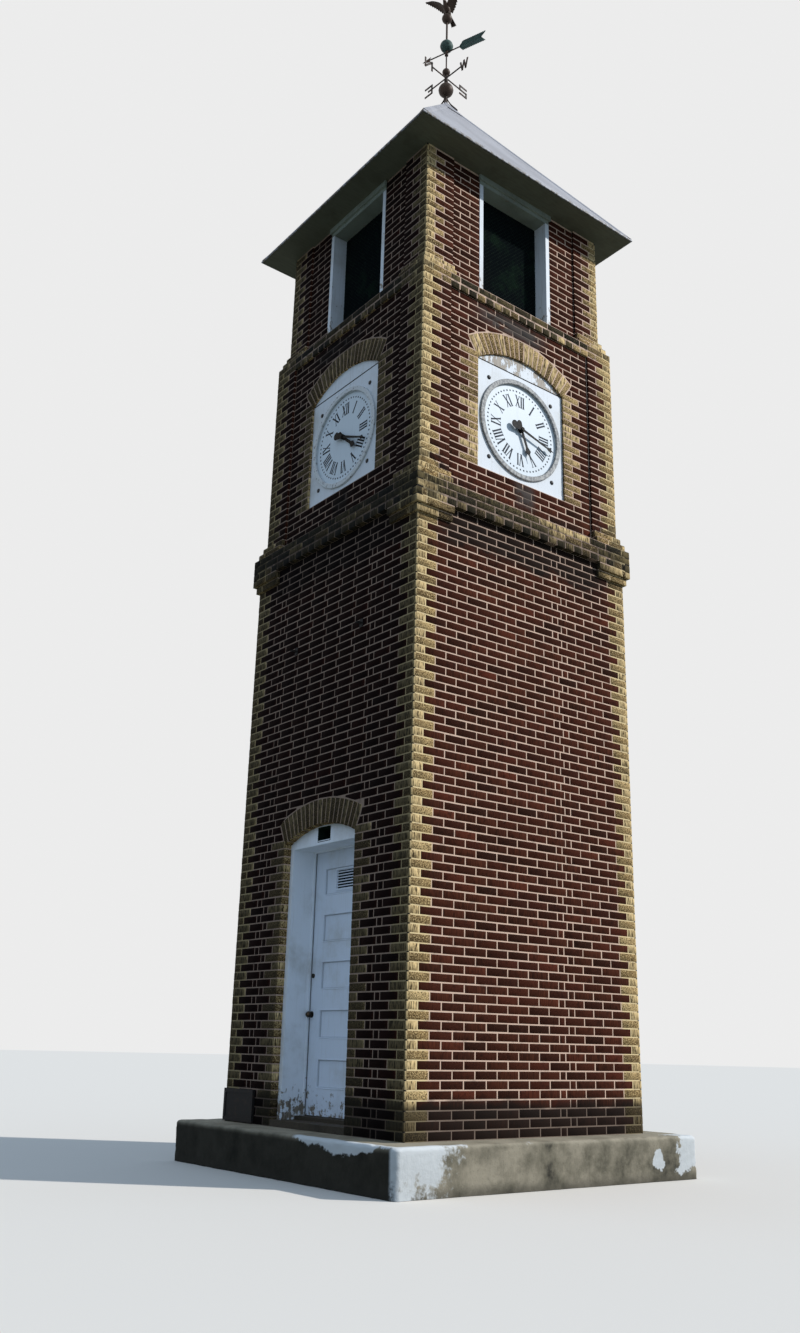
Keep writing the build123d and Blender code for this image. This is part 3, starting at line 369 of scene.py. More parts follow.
def make_piece(
    name: str,
    shape: Shape,
    finish: bpy.types.Material,
    body: str = "tower",
    replaces: Sequence[str] = (),
    smooth: float | None = None,
    thickness: float | None = None,
) -> None:
    """Put a surface into the scene as a piece that rides on a CAD body.

    Args:
        name: Name of the piece.
        shape: Surface in the tower's frame.
        finish: Material of the piece.
        body: Body that carries the piece.
        replaces: Nodes that the piece stands for.
        smooth: Largest angle in degrees that is shaded as round, or None for flat faces.
        thickness: Thickness that a sheet gets, half of it on each side, or None for a closed surface.
    """
    mesh = bpy.data.meshes.new(name)
    mesh.vertices.add(len(shape.points))
    mesh.vertices.foreach_set("co", shape.points.astype(np.float32).ravel())
    corners = np.concatenate([shape.quads.ravel(), shape.triangles.ravel()]).astype(np.int32)
    mesh.loops.add(len(corners))
    mesh.loops.foreach_set("vertex_index", corners)
    four, three = len(shape.quads), len(shape.triangles)
    starts = np.concatenate([np.arange(four) * 4, 4 * four + np.arange(three) * 3]).astype(np.int32)
    mesh.polygons.add(four + three)
    mesh.polygons.foreach_set("loop_start", starts)
    mesh.update(calc_edges=True)
    for key, value in shape.values.items():
        mesh.attributes.new(key, "FLOAT", "POINT").data.foreach_set("value", value.astype(np.float32))
    if smooth is not None:
        mesh.polygons.foreach_set("use_smooth", np.ones(four + three, bool))
        mesh.set_sharp_from_angle(angle=np.radians(smooth))
    mesh.materials.append(finish)
    piece = placed(name, mesh)
    if thickness is not None:
        wall = piece.modifiers.new("thickness", "SOLIDIFY")
        wall.thickness, wall.offset = thickness, 0.0
    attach(piece, body)
    if replaces:
        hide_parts(*replaces)
    log.info("%s: %d faces", name, four + three)


def dress(finish: bpy.types.Material, *nodes: str) -> None:
    """Give CAD nodes a material in every slot."""
    for slot in [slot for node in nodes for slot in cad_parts[node].material_slots]:
        slot.material = finish


def linear(colour: Colour) -> tuple[float, float, float, float]:
    """A display colour of 0 to 255 as the linear colour that a shader takes."""
    c = np.array(colour) / 255
    return (*np.where(c <= 0.04045, c / 12.92, ((c + 0.055) / 1.055) ** 2.4).tolist(), 1.0)


class Term:
    """A value in a node tree. Arithmetic on it adds the nodes that work it out."""

    def __init__(self, graph: "Graph", socket: bpy.types.NodeSocket) -> None:
        """Keep the tree and the socket that gives the value."""
        self.graph, self.socket = graph, socket

    def __add__(self, other: "Number") -> "Term":
        """This plus another."""
        return self.graph.math("ADD", self, other)

    def __sub__(self, other: "Number") -> "Term":
        """This less another."""
        return self.graph.math("SUBTRACT", self, other)

    def __rsub__(self, other: float) -> "Term":
        """A plain number less this."""
        return self.graph.math("SUBTRACT", other, self)

    def __mul__(self, other: "Number") -> "Term":
        """This times another."""
        return self.graph.math("MULTIPLY", self, other)

    def __pow__(self, power: float) -> "Term":
        """This to a power."""
        return self.graph.math("POWER", self, power)

    def __abs__(self) -> "Term":
        """Size without sign."""
        return self.graph.math("ABSOLUTE", self)

    def least(self, other: "Number") -> "Term":
        """The smaller of two."""
        return self.graph.math("MINIMUM", self, other)

    def most(self, other: "Number") -> "Term":
        """The larger of two."""
        return self.graph.math("MAXIMUM", self, other)

    def over(self, limit: "Number") -> "Term":
        """1 above a limit, else 0."""
        return self.graph.math("GREATER_THAN", self, limit)

    def rise(self, low: float, high: float) -> "Term":
        """Smooth step from 0 at low to 1 at high."""
        made = self.graph.node("ShaderNodeMapRange", interpolation_type="SMOOTHSTEP")
        return self.graph.fed(made, {"Value": self, "From Min": low, "From Max": high}, "Result")

    def within(self, low: float, high: float, soft: float) -> "Term":
        """1 between two limits, with soft ends."""
        return self.rise(low - soft, low + soft) * self.rise(high + soft, high - soft)


Number = float | Term


class Graph:
    """The node tree of one finish, with short calls for the nodes that the finishes share."""

    def __init__(self, name: str) -> None:
        """Start a tree with one shader, its output and the object's own coordinates.

        Args:
            name: Name of the material.
        """
        self.material = bpy.data.materials.new(name)
        self.material.use_nodes = True
        self.tree = self.material.node_tree
        self.tree.nodes.clear()
        self.shader = self.node("ShaderNodeBsdfPrincipled")
        output = self.node("ShaderNodeOutputMaterial")
        self.tree.links.new(self.shader.outputs["BSDF"], output.inputs["Surface"])
        coordinates = self.node("ShaderNodeTexCoord")
        self.place = Term(self, coordinates.outputs["Object"])
        self.normal = Term(self, coordinates.outputs["Normal"])
        self.x, self.y, self.z = self.split(self.place)

    def node(self, kind: str, **settings: object) -> bpy.types.Node:
        """Add a node and set its properties.

        Args:
            kind: Blender's name of the node.
            settings: Properties and their values.

        Returns:
            The node.
        """
        made = self.tree.nodes.new(kind)
        for key, value in settings.items():
            setattr(made, key, value)
        return made

    def fed(self, node: bpy.types.Node, values: dict[str | int, object], output: str | int) -> Term:
        """Set a node's inputs, by a link or by a plain value, and read its output.

        Args:
            node: The node.
            values: Terms, numbers, vectors or display colours by the name or number of the input.
            output: Name or number of the output.

        Returns:
            The output.
        """
        for key, value in values.items():
            if isinstance(value, Term):
                self.tree.links.new(value.socket, node.inputs[key])
            else:
                colour = isinstance(value, tuple) and node.inputs[key].type == "RGBA"
                node.inputs[key].default_value = linear(value) if colour else value
        return Term(self, node.outputs[output])

    def split(self, vector: Term) -> tuple[Term, Term, Term]:
        """The three parts of a vector."""
        made = self.node("ShaderNodeSeparateXYZ")
        return self.fed(made, {0: vector}, 0), self.fed(made, {}, 1), self.fed(made, {}, 2)

    def math(self, operation: str, first: Number, second: Number = 0.0) -> Term:
        """One step of arithmetic."""
        return self.fed(self.node("ShaderNodeMath", operation=operation), {0: first, 1: second}, 0)

    def stretched(self, stretch: Sequence[float]) -> Term:
        """The object's coordinates, scaled along the axes."""
        return self.fed(self.node("ShaderNodeMapping"), {"Vector": self.place, "Scale": tuple(stretch)}, 0)

    def noise(
        self, scale: float, detail: float = 3.0, rough: float = 0.55, stretch: Sequence[float] = (1, 1, 1)
    ) -> Term:
        """Cloudy noise on the object's coordinates.

        Args:
            scale: Lumps in a metre.
            detail: Number of finer layers.
            rough: Strength of the finer layers.
            stretch: Scale along each axis, which draws the lumps out where it is small.

        Returns:
            Value around 0.5.
        """
        values = {"Vector": self.stretched(stretch), "Scale": scale, "Detail": detail, "Roughness": rough}
        return self.fed(self.node("ShaderNodeTexNoise"), values, "Fac")

    def cells(self, scale: float) -> Term:
        """Distance to the nearest of scattered points."""
        values = {"Vector": self.stretched((1, 1, 1)), "Scale": scale}
        return self.fed(self.node("ShaderNodeTexVoronoi"), values, "Distance")

    def value(self, name: str) -> Term:
        """A number stored at the points of the mesh."""
        return self.fed(self.node("ShaderNodeAttribute", attribute_name=name), {}, "Fac")

    def ramp(self, value: Term, colours: Sequence[Colour], stops: Sequence[float] | None = None) -> Term:
        """Colours spread over 0 to 1, or set at given stops.

        Args:
            value: Place on the ramp.
            colours: Display colours in order.
            stops: Place of each colour, or None for equal steps.

        Returns:
            The colour.
        """
        made = self.node("ShaderNodeValToRGB")
        elements = made.color_ramp.elements
        while len(elements) < len(colours):
            elements.new(0.5)
        for element, place, colour in zip(elements, stops or np.linspace(0, 1, len(colours)), colours):
            element.position = float(place)
            element.color = linear(colour)
        return self.fed(made, {0: value}, 0)

    def mix(self, amount: Number, first: Term | Colour, second: Term | Colour, blend: str = "MIX") -> Term:
        """Blend two colours, the second in the given amount."""
        return self.fed(
            self.node("ShaderNodeMix", data_type="RGBA", blend_type=blend), {0: amount, 6: first, 7: second}, 2
        )

    def blend(self, amount: Number, first: Number, second: Number) -> Term:
        """Blend two numbers, the second in the given amount."""
        return self.fed(self.node("ShaderNodeMix", data_type="FLOAT"), {0: amount, 2: first, 3: second}, 0)

    def along(self) -> Term:
        """Place along the wall: x on the front and back, y on the other two sides."""
        return self.blend(abs(self.x).over(abs(self.y)), self.x, self.y)

    def aside(self) -> Term:
        """Distance from the middle of the wall, which is greatest at its corners."""
        return abs(self.x).least(abs(self.y))

    def bump(self, height: Term, distance: float, strength: float = 1.0, under: Term | None = None) -> Term:
        """Turn a height into a normal.

        Args:
            height: Height from 0 to 1.
            distance: Metres that a height of 1 stands for.
            strength: Share of the bump that shows.
            under: Another bump that this one lies on.

        Returns:
            The normal.
        """
        values = {"Strength": strength, "Distance": distance, "Height": height}
        return self.fed(self.node("ShaderNodeBump"), values | ({"Normal": under} if under else {}), 0)

    def done(
        self,
        colour: Term | Colour,
        roughness: Number,
        normal: Term | None = None,
        metal: float = 0.0,
        shine: float = 0.5,
    ) -> bpy.types.Material:
        """Set the shader.

        Args:
            colour: Base colour.
            roughness: Roughness.
            normal: Normal, or None for the plain surface.
            metal: Share of metal.
            shine: Level of the clear reflection.

        Returns:
            The finished material.
        """
        values = {"Base Color": colour, "Roughness": roughness, "Metallic": metal, "Specular IOR Level": shine}
        self.fed(self.shader, values | ({"Normal": normal} if normal else {}), 0)
        return self.material


def edge_of(node: str, end: int, axis: int) -> Any:
    """A dataclass field that is read from the box of a CAD node."""
    return field(default_factory=lambda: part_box(node)[end][axis])


@dataclass
class Levels:
    """Heights and half widths of the tower, read from the CAD nodes."""

    foot: float = edge_of("shaft_back_wall", LOW, Z)
    band_bottom: float = edge_of("shaft_back_wall", HIGH, Z)
    band_top: float = edge_of("corbel_band_ends", HIGH, Z)
    sill: float = edge_of("clock_boards", LOW, Z)
    spring: float = edge_of("clock_boards", HIGH, Z)
    header: float = edge_of("belfry_sills", LOW, Z)
    stage_top: float = edge_of("belfry_sills", HIGH, Z)
    soffit: float = edge_of("soffit_ends", LOW, Z)
    eave: float = edge_of("roof_ends", LOW, Z)
    roof_top: float = edge_of("roof_ends", HIGH, Z)
    perch: float = edge_of("vane_balls", HIGH, Z)
    shaft: float = edge_of("shaft_back_wall", HIGH, X)
    band: float = edge_of("corbel_band_ends", HIGH, Y)
    clock: float = edge_of("clock_piers", HIGH, X)
    belfry: float = edge_of("belfry_piers", HIGH, X)
    roof: float = edge_of("roof_ends", HIGH, X)
    board: float = edge_of("clock_boards", HIGH, Y)
    plinth: float = edge_of("plinth", HIGH, X)

    @property
    def centre(self) -> float:
        """Height of the middle of the dials."""
        return (self.sill + self.spring) / 2


@dataclass(frozen=True)
class Smear:
    """A grey smear of lime below a ledge: its ends along the wall, its reach down, and how softly both end."""

    left: float
    right: float
    soft: float
    foot: float
    top: float
    fade: float

    def amount(self, graph: Graph, ledge: float) -> Term:
        """1 on the smear below a ledge of a given height, else 0."""
        across = graph.along().within(self.left, self.right, self.soft)
        return across * graph.z.within(ledge - self.foot, ledge - self.top, self.fade)


@dataclass(frozen=True)
class Weather:
    """Dirt on the masonry by height above ground and place along the wall, in metres; painted light and shade."""

    levels: Levels
    splash: float = 0.28
    stain: float = 0.64
    shoulder: float = 0.12
    at_corner: float = 0.20
    over_arch: Smear = Smear(-0.50, 0.26, 0.16, 0.19, 0.03, 0.05)
    under_board: Smear = Smear(-0.09, 0.13, 0.05, 0.22, 0.02, 0.06)

    def edge(self, graph: Graph, low: float, high: float) -> Term:
        """The very edge of the tower's corners, whose half width drops at the band and at the belfry.

        Args:
            graph: Tree that the nodes go into.
            low: Distance inside the corner where the value is 0.
            high: Distance where it is 1.

        Returns:
            Value from 0 to 1.
        """
        levels = self.levels
        at_band = graph.z.over(levels.band_top + 2 * COURSE) * (levels.shaft - levels.clock)
        at_sill = graph.z.over(levels.stage_top) * (levels.clock - levels.belfry)
        return (graph.aside() - (levels.shaft - (at_band + at_sill))).rise(-low, -high)

    def soil(
        self, graph: Graph, stain: float = 0.9, crust: float = 0.62, foot: float = 0.90, each: Term | None = None
    ) -> Term:
        """Dark crust: splashed courses at the foot, a stain under the band, and the band itself.

        Args:
            graph: Tree that the nodes go into.
            stain: Greatest amount of dirt under the band.
            crust: Greatest amount on the band and the sill.
            foot: Greatest amount on the splashed courses.
            each: Number of each brick from 0 to 1, which makes one brick dirtier than the next.

        Returns:
            Amount of crust from 0 to 1.
        """
        levels, z = self.levels, graph.z
        cloud = graph.noise(2.6, 5.0, 0.62)
        patch = graph.noise(17.0, 5.0, 0.68)
        if each is not None:
            patch = patch + (0.5 - each) * 0.48
        wet = levels.foot + self.splash
        splash = (z + cloud * 0.24).rise(wet + 0.14, wet + 0.04) * foot
        middle = 1.0 - graph.aside().rise(0.80, 1.12) * 0.75
        depth = z.rise(levels.band_bottom - self.stain, levels.band_bottom) + (-0.42)
        under = (cloud + depth).rise(0.50, 0.74) * middle * stain
        under = under * z.rise(levels.band_top, levels.band_bottom)
        band = z.within(levels.band_bottom, levels.band_top, 0.01) * (patch.rise(0.38, 0.60) * crust)
        reach = graph.aside().rise(0.78, 1.02) * self.at_corner
        above = z - (reach + (levels.band_top + self.shoulder))
        shoulder = above.rise(0.06, -0.06) * z.rise(levels.band_top - 0.01, levels.band_top)
        shoulder = shoulder * (patch.rise(0.42, 0.62) * crust)
        sill = z.within(levels.header, levels.stage_top, 0.008) * (patch.rise(0.42, 0.62) * (0.8 * crust))
        drift = cloud.rise(0.58, 0.82) * 0.25
        return splash.most(under).most(band).most(shoulder).most(sill).most(drift)

    def damp(self, graph: Graph) -> Term:
        """Painted shade: 1 on faces that look to the front or the left, away from the sun, else 0."""
        x, y, _ = graph.split(graph.normal)
        return (x + y).rise(-0.3, -0.8)

    def wash(self, graph: Graph) -> Term:
        """Grey smears of lime: above the clock arch and under the clock board.

        Args:
            graph: Tree that the nodes go into.

        Returns:
            Amount of lime from 0 to 1.
        """
        ledges = ((self.over_arch, self.levels.header), (self.under_board, self.levels.sill))
        above, below = [smear.amount(graph, ledge) for smear, ledge in ledges]
        return above.most(below) * graph.noise(7.0, 4.0, 0.6, (1.0, 1.0, 1.6)).rise(0.30, 0.50)


@dataclass(frozen=True)
class BrickFinish:
    """Rug-faced clay: a colour for each brick, a speckled or combed face, weathering, and painted light and shade."""

    name: str
    weather: Weather
    tones: tuple[Colour, ...]
    dark: Colour
    light: Colour
    rug: float
    crust: Colour
    smear: Colour = (78, 74, 70)
    relief: float = 0.002
    # Share and colour of the painted shade on the sides away from the sun.
    damp: float = 0.91
    shade: Colour = (9, 7, 8)

    def make(self) -> bpy.types.Material:
        """Build the material."""
        graph = Graph(self.name)
        comb, tone = graph.value("comb"), graph.value("tone")
        base = graph.ramp(tone, self.tones)
        base = graph.mix(comb * (self.rug * 0.55), base, self.light)
        speckle = graph.noise(95.0, 4.0, 0.72)
        combed = graph.noise(1.0, 3.0, 0.7, (105.0, 105.0, 13.0))
        face = graph.blend(comb, speckle, combed)
        base = graph.mix(face.rise(0.52, 0.40) * self.rug, base, self.dark)
        base = graph.mix(face.rise(0.52, 0.66) * self.rug, base, self.light)
        base = graph.mix(graph.noise(21.0, 4.0, 0.6).rise(0.50, 0.70) * 0.45, base, self.dark)
        # Painted highlight: the corner bricks are lighter on their last few millimetres, where the arris catches the
        # light.
        base = graph.mix(self.weather.edge(graph, 0.016, 0.006) * 0.6, base, self.light)
        base = graph.mix(self.weather.wash(graph) * 0.80, base, self.smear)
        base = graph.mix(self.weather.soil(graph, each=tone) * 0.93, base, self.crust)
        # Painted shade: the sides away from the sun are darkened towards the shade colour.
        base = graph.mix(self.weather.damp(graph) * self.damp, base, self.shade)
        normal = graph.bump(face, self.relief, 0.8)
        normal = graph.bump(graph.noise(420.0, 2.0, 0.6), 0.0006, 0.5, normal)
        return graph.done(base, 0.92, normal, shine=0.03)


@dataclass(frozen=True)
class MortarFinish:
    """Lime mortar: grey-pink in the walls, creamier by the pale corners, gritty, and dirty where the bricks are."""

    weather: Weather
    name: str = "mortar"
    wall: Colour = (226, 194, 170)
    by_corner: Colour = (238, 212, 160)
    dirt: Colour = (150, 132, 118)
    crust: Colour = (46, 43, 40)
    smear: Colour = (82, 78, 74)
    # Painted shade inside the tower: its colour, and the distance from the middle within which it lies.
    soot: Colour = (20, 22, 20)
    inside: float = 0.90
    shade: Colour = (14, 13, 14)

    def make(self) -> bpy.types.Material:
        """Build the material, with painted shade at corners, on the sides away from the sun and inside the tower."""
        graph = Graph(self.name)
        weather, levels = self.weather, self.weather.levels
        base = graph.mix(graph.aside().rise(0.99, 1.05), self.wall, self.by_corner)
        base = graph.mix(graph.noise(11.0, 5.0, 0.65).rise(0.50, 0.74) * 0.55, base, self.dirt)
        base = graph.mix(graph.noise(520.0, 2.0, 0.7).rise(0.50, 0.72) * 0.30, base, self.dirt)
        # Painted shade: the mortar at the very corners is darkened, for the shadow in the notches of the corner
        # joints.
        base = graph.mix(weather.edge(graph, 0.020, 0.008), base, self.crust)
        base = graph.mix(weather.wash(graph) * 0.85, base, self.smear)
        base = graph.mix(weather.soil(graph, 0.40, 0.72, 0.76), base, self.crust)
        in_band = graph.z.within(levels.band_bottom, levels.band_top, 0.01)
        base = graph.mix(in_band * 0.42, base, self.crust)
        # Painted shade on the sides away from the sun.
        base = graph.mix(weather.damp(graph) * 0.57, base, self.shade)
        # Painted shade: mortar inside the tower, less than about 0.9 m from its middle, is nearly black.
        outermost = abs(graph.x).most(abs(graph.y))
        base = graph.mix(outermost.rise(self.inside, self.inside - 0.02), base, self.soot)
        return graph.done(base, 0.95, graph.bump(graph.noise(160.0, 4.0, 0.7), 0.002, 0.6), shine=0.05)


@dataclass(frozen=True)
class ConcreteFinish:
    """Old cast concrete: pale sandy grey, dark algae low down, painted shade on the front, and splashes of white
    paint.

    The paint is a band that sags along the top of the front, a patch at the near corner of the right side, one at
    its far end, and a round spot before that. Lengths are in metres in the tower's frame.
    """

    name: str = "concrete"
    pale: Colour = (160, 150, 130)
    mid: Colour = (122, 115, 98)
    dark: Colour = (54, 52, 46)
    # Colour of the painted shade on the front.
    damp: Colour = (22, 24, 22)
    paint: Colour = (216, 218, 216)
    face: float = 1.48
    top: float = 0.315
    band_start: float = 0.26
    band_length: float = 1.30
    band_sag: float = 0.080
    patch: tuple[float, float] = (-0.72, -1.34)
    patch_level: float = 0.20
    far_end: float = 1.27
    spot: tuple[float, float] = (1.06, 0.15)
    spot_radius: float = 0.075

    def band(self, graph: Graph) -> Term:
        """Paint along the front: all above a line that sags as a half sine wave and is frayed by noise.

        Args:
            graph: Tree that the nodes go into.

        Returns:
            Amount of paint from 0 to 1.
        """
        depth = graph.math("SINE", (graph.x - self.band_start) * (np.pi / self.band_length))
        depth = depth * graph.x.within(self.band_start, self.band_start + self.band_length, 0.01)
        lower = self.top - depth * self.band_sag + (graph.noise(3.2, 5.0, 0.72) - 0.5) * 0.26
        above = (graph.z - lower).rise(0.0, 0.02)
        return above * depth.rise(0.02, 0.2) * graph.y.rise(-self.face + 0.03, -self.face)

    def blotches(self, graph: Graph) -> tuple[Term, Term, Term]:
        """Paint on the right side: where a place, raised by noise, passes a limit.

        Args:
            graph: Tree that the nodes go into.

        Returns:
            The patch at the near corner, the one at the far end, and the spot, each from 0 to 1.
        """
        ragged = graph.noise(8.0, 5.0, 0.62) - 0.5
        near = graph.y.rise(*self.patch) + ragged * 1.5
        near = near + (graph.noise(30.0, 4.0, 0.65) - 0.5) * 0.7 + (graph.z - self.patch_level) * 1.7
        near = near.rise(0.42, 0.78) * graph.x.rise(self.face - 0.04, self.face)
        far = (graph.y + ragged * 0.45).rise(self.far_end, self.far_end + 0.03) * graph.x.rise(1.30, 1.40)
        far = far * (graph.z + ragged * 0.5).rise(0.06, 0.09)
        gap = graph.math("SQRT", (graph.y - self.spot[0]) ** 2.0 + (graph.z - self.spot[1]) ** 2.0)
        spot = (gap + ragged * 0.20).rise(self.spot_radius, self.spot_radius - 0.013)
        return near, far, spot * graph.x.rise(self.face - 0.03, self.face + 0.02)

    def make(self) -> bpy.types.Material:
        """Build the material."""
        graph = Graph(self.name)
        cloud = graph.noise(3.4, 6.0, 0.62)
        base = graph.ramp(cloud, (self.dark, self.mid, self.pale, self.pale), (0.28, 0.42, 0.58, 1.0))
        fine = graph.noise(36.0, 5.0, 0.68)
        base = graph.mix(fine.rise(0.52, 0.72) * 0.45, base, self.mid)
        base = graph.mix(graph.cells(70.0).rise(0.20, 0.08) * 0.55, base, self.dark)
        # Painted shade on the front face of the plinth, below its top edge.
        front = graph.y.rise(-self.face + 0.015, -self.face - 0.015)
        base = graph.mix(front * graph.z.rise(0.325, 0.27) * 0.90, base, self.damp)
        base = graph.mix(graph.z.rise(0.09, 0.0) * 0.6, base, self.dark)
        base = graph.mix(graph.z.rise(0.295, 0.318) * 0.45, base, self.pale)
        near, far, spot = self.blotches(graph)
        white = self.band(graph).most(far).most(near.most(spot))
        base = graph.mix(white * 0.92, base, self.paint)
        normal = graph.bump(fine, 0.006, 0.5)
        normal = graph.bump(graph.noise(240.0, 3.0, 0.7), 0.0016, 0.5, normal)
        return graph.done(base, 0.92, normal, shine=0.12)


@dataclass(frozen=True)
class PaintFinish:
    """White paint on wood: brush marks, dirt, flakes off over grey wood, more of them low down; painted shade lines.
    """

    name: str
    coat: Colour = (220, 225, 229)
    grime: Colour = (178, 176, 166)
    wood: Colour = (112, 100, 86)
    pale_wood: Colour = (158, 148, 132)
    # Colour of the painted shadow lines in the mouldings and along the door's gap.
    groove: Colour = (66, 68, 70)
    peel: float = 0.30
    low: float = 0.40
    high: float = 0.95
    low_peel: float = 0.30
    east_peel: float = 0.0
    scale: float = 13.0
    streaks: float = 0.45
    gap: float = 0.0
    gap_depth: float = -0.934
    bare_from: float = 0.585

    def make(self) -> bpy.types.Material:
        """Build the material."""
        graph = Graph(self.name)
        base = graph.mix(graph.noise(2.4, 5.0, 0.6).rise(0.46, 0.78) * 0.6, self.coat, self.grime)
        streak = graph.noise(1.0, 4.0, 0.6, (52.0, 52.0, 3.2))
        base = graph.mix(streak.rise(0.52, 0.76) * self.streaks, base, self.grime)
        flakes = graph.noise(self.scale, 6.0, 0.68) * 0.72 + graph.noise(1.0, 4.0, 0.6, (46.0, 46.0, 9.0)) * 0.28
        extra = graph.z.rise(self.high, self.low) * self.low_peel
        east = graph.x.rise(0.7, 1.0) * self.east_peel
        height = (flakes + east) + (extra + (self.peel - 0.30))
        grain = graph.noise(1.0, 5.0, 0.65, (120.0, 120.0, 7.0))
        timber = graph.mix(grain.rise(0.35, 0.68), self.wood, self.pale_wood)
        base = graph.mix(height.rise(self.bare_from, self.bare_from + 0.02), base, timber)
        rim = height.within(self.bare_from - 0.011, self.bare_from + 0.007, 0.006)
        base = graph.mix(rim * 0.35, base, self.wood)
        # Painted shade: the panel mouldings carry how dark each line of their profile is, for the shadow lines of the
        # panels.
        base = graph.mix(graph.value("grime"), base, self.groove)
        # Painted shadow: a dark line down the leaf's edges, where the gap to the jambs is.
        if self.gap:
            slit = abs(graph.x).within(self.gap - 0.006, self.gap + 0.009, 0.002)
            slit = slit * graph.y.rise(self.gap_depth, self.gap_depth + 0.006)
            base = graph.mix(slit * 0.85, base, self.groove)
        normal = graph.bump(height.rise(self.bare_from + 0.02, self.bare_from), 0.0011, 0.8)
        return graph.done(base, 0.5, graph.bump(streak, 0.0006, 0.35, normal), shine=0.2)


@dataclass(frozen=True)
class DialFinish:
    """Enamel of the dial: near white, with faint streaks of dust."""

    name: str = "dial_enamel"
    white: Colour = (222, 230, 234)
    dust: Colour = (190, 196, 198)

    def make(self) -> bpy.types.Material:
        """Build the material."""
        graph = Graph(self.name)
        streak = graph.noise(1.0, 4.0, 0.6, (22.0, 22.0, 3.0))
        base = graph.mix(streak.rise(0.50, 0.80) * 0.35, self.white, self.dust)
        base = graph.mix(graph.cells(60.0).rise(0.09, 0.03) * 0.5, base, self.dust)
        return graph.done(base, 0.36, graph.bump(graph.noise(30.0, 3.0, 0.5), 0.001, 0.25), shine=0.06)


@dataclass(frozen=True)
class MetalFinish:
    """Weathered metal: a main colour, a second colour in patches, a third on shaded sides, and grain."""

    name: str
    main: Colour
    patch: Colour
    patch_start: float = 0.50
    patch_end: float = 0.62
    scale: float = 30.0
    metal: float = 0.4
    roughness: float = 0.55
    grain: float = 0.0012
    shine: float = 0.5
    shaded: Colour | None = None

    def make(self) -> bpy.types.Material:
        """Build the material."""
        graph = Graph(self.name)
        cloud = graph.noise(self.scale, 6.0, 0.66)
        base = graph.mix(cloud.rise(self.patch_start, self.patch_end), self.main, self.patch)
        # On the front and left, the shaded colour is painted shade on the hands and numerals, and pale paint on the
        # bezel.
        if self.shaded:
            side = graph.x.least(graph.y).rise(-1.0, -1.1)
            base = graph.mix(side * cloud.rise(0.34, 0.46), base, self.shaded)
        fine = graph.noise(self.scale * 9, 4.0, 0.7)
        base = graph.mix(0.35, base, graph.ramp(fine, ((90, 90, 90), (190, 190, 190)), (0.3, 0.7)), "OVERLAY")
        rough = fine * 0.24 + (self.roughness - 0.12)
        return graph.done(base, rough, graph.bump(fine, self.grain, 0.7), self.metal, self.shine)


@dataclass(frozen=True)
class RoofFinish:
    """Painted sheet roof: chalky grey-white, dark and flaked from the height of the eave."""

    name: str = "roof_sheet"
    chalk: Colour = (140, 141, 147)
    pale: Colour = (162, 163, 169)
    bare: Colour = (92, 86, 78)
    eave: float = 8.892

    def make(self) -> bpy.types.Material:
        """Build the material."""
        graph = Graph(self.name)
        base = graph.ramp(graph.noise(2.2, 5.0, 0.6, (1.0, 1.0, 0.6)), (self.chalk, self.pale), (0.35, 0.7))
        streak = graph.noise(1.0, 4.0, 0.6, (22.0, 22.0, 1.6))
        base = graph.mix(streak.rise(0.50, 0.78) * 0.35, base, self.chalk)
        low = graph.z.rise(self.eave + 0.10, self.eave - 0.02)
        bare = (graph.noise(16.0, 6.0, 0.7) + low * 0.22).rise(0.70, 0.74)
        base = graph.mix(bare, base, self.bare)
        normal = graph.bump(graph.noise(5.0, 3.0, 0.5), 0.012, 0.3)
        return graph.done(base, 0.5, graph.bump(bare, -0.0008, 0.6, normal), shine=0.3)


@dataclass(frozen=True)
class TimberFinish:
    """Bare or thinly painted boards: grain along the boards, butt joints and stains."""

    name: str
    tone: Colour
    stain: Colour
    seam: Colour = (38, 36, 32)
    board: float = 0.14
    lines: float = 0.75

    def make(self) -> bpy.types.Material:
        """Build the material."""
        graph = Graph(self.name)
        grain = graph.noise(1.0, 5.0, 0.65, (60.0, 7.0, 60.0))
        base = graph.mix(grain.rise(0.36, 0.72) * 0.45, self.tone, self.stain)
        base = graph.mix(graph.noise(3.0, 5.0, 0.62).rise(0.50, 0.76) * 0.7, base, self.stain)
        line = graph.math("PINGPONG", graph.x, self.board / 2).rise(0.004, 0.0015)
        base = graph.mix(line * self.lines, base, self.seam)
        normal = graph.bump(line, -0.003 * self.lines, 0.8)
        return graph.done(base, 0.72, graph.bump(grain, 0.0008, 0.4, normal), shine=0.15)


@dataclass(frozen=True)
class FloorFinish:
    """The studio floor: pale to the camera, gloss and glass, and dull for the light that it throws back."""

    name: str = "studio_floor"
    tone: Colour = (230, 222, 210)
    bounce: Colour = (104, 106, 98)

    def make(self) -> bpy.types.Material:
        """Build the material."""
        graph = Graph(self.name)
        path = graph.node("ShaderNodeLightPath")
        camera, gloss, glass = [graph.fed(path, {}, f"Is {ray} Ray") for ray in ("Camera", "Glossy", "Transmission")]
        return graph.done(graph.mix(camera.most(gloss).most(glass), self.bounce, self.tone), 0.9, shine=0.0)


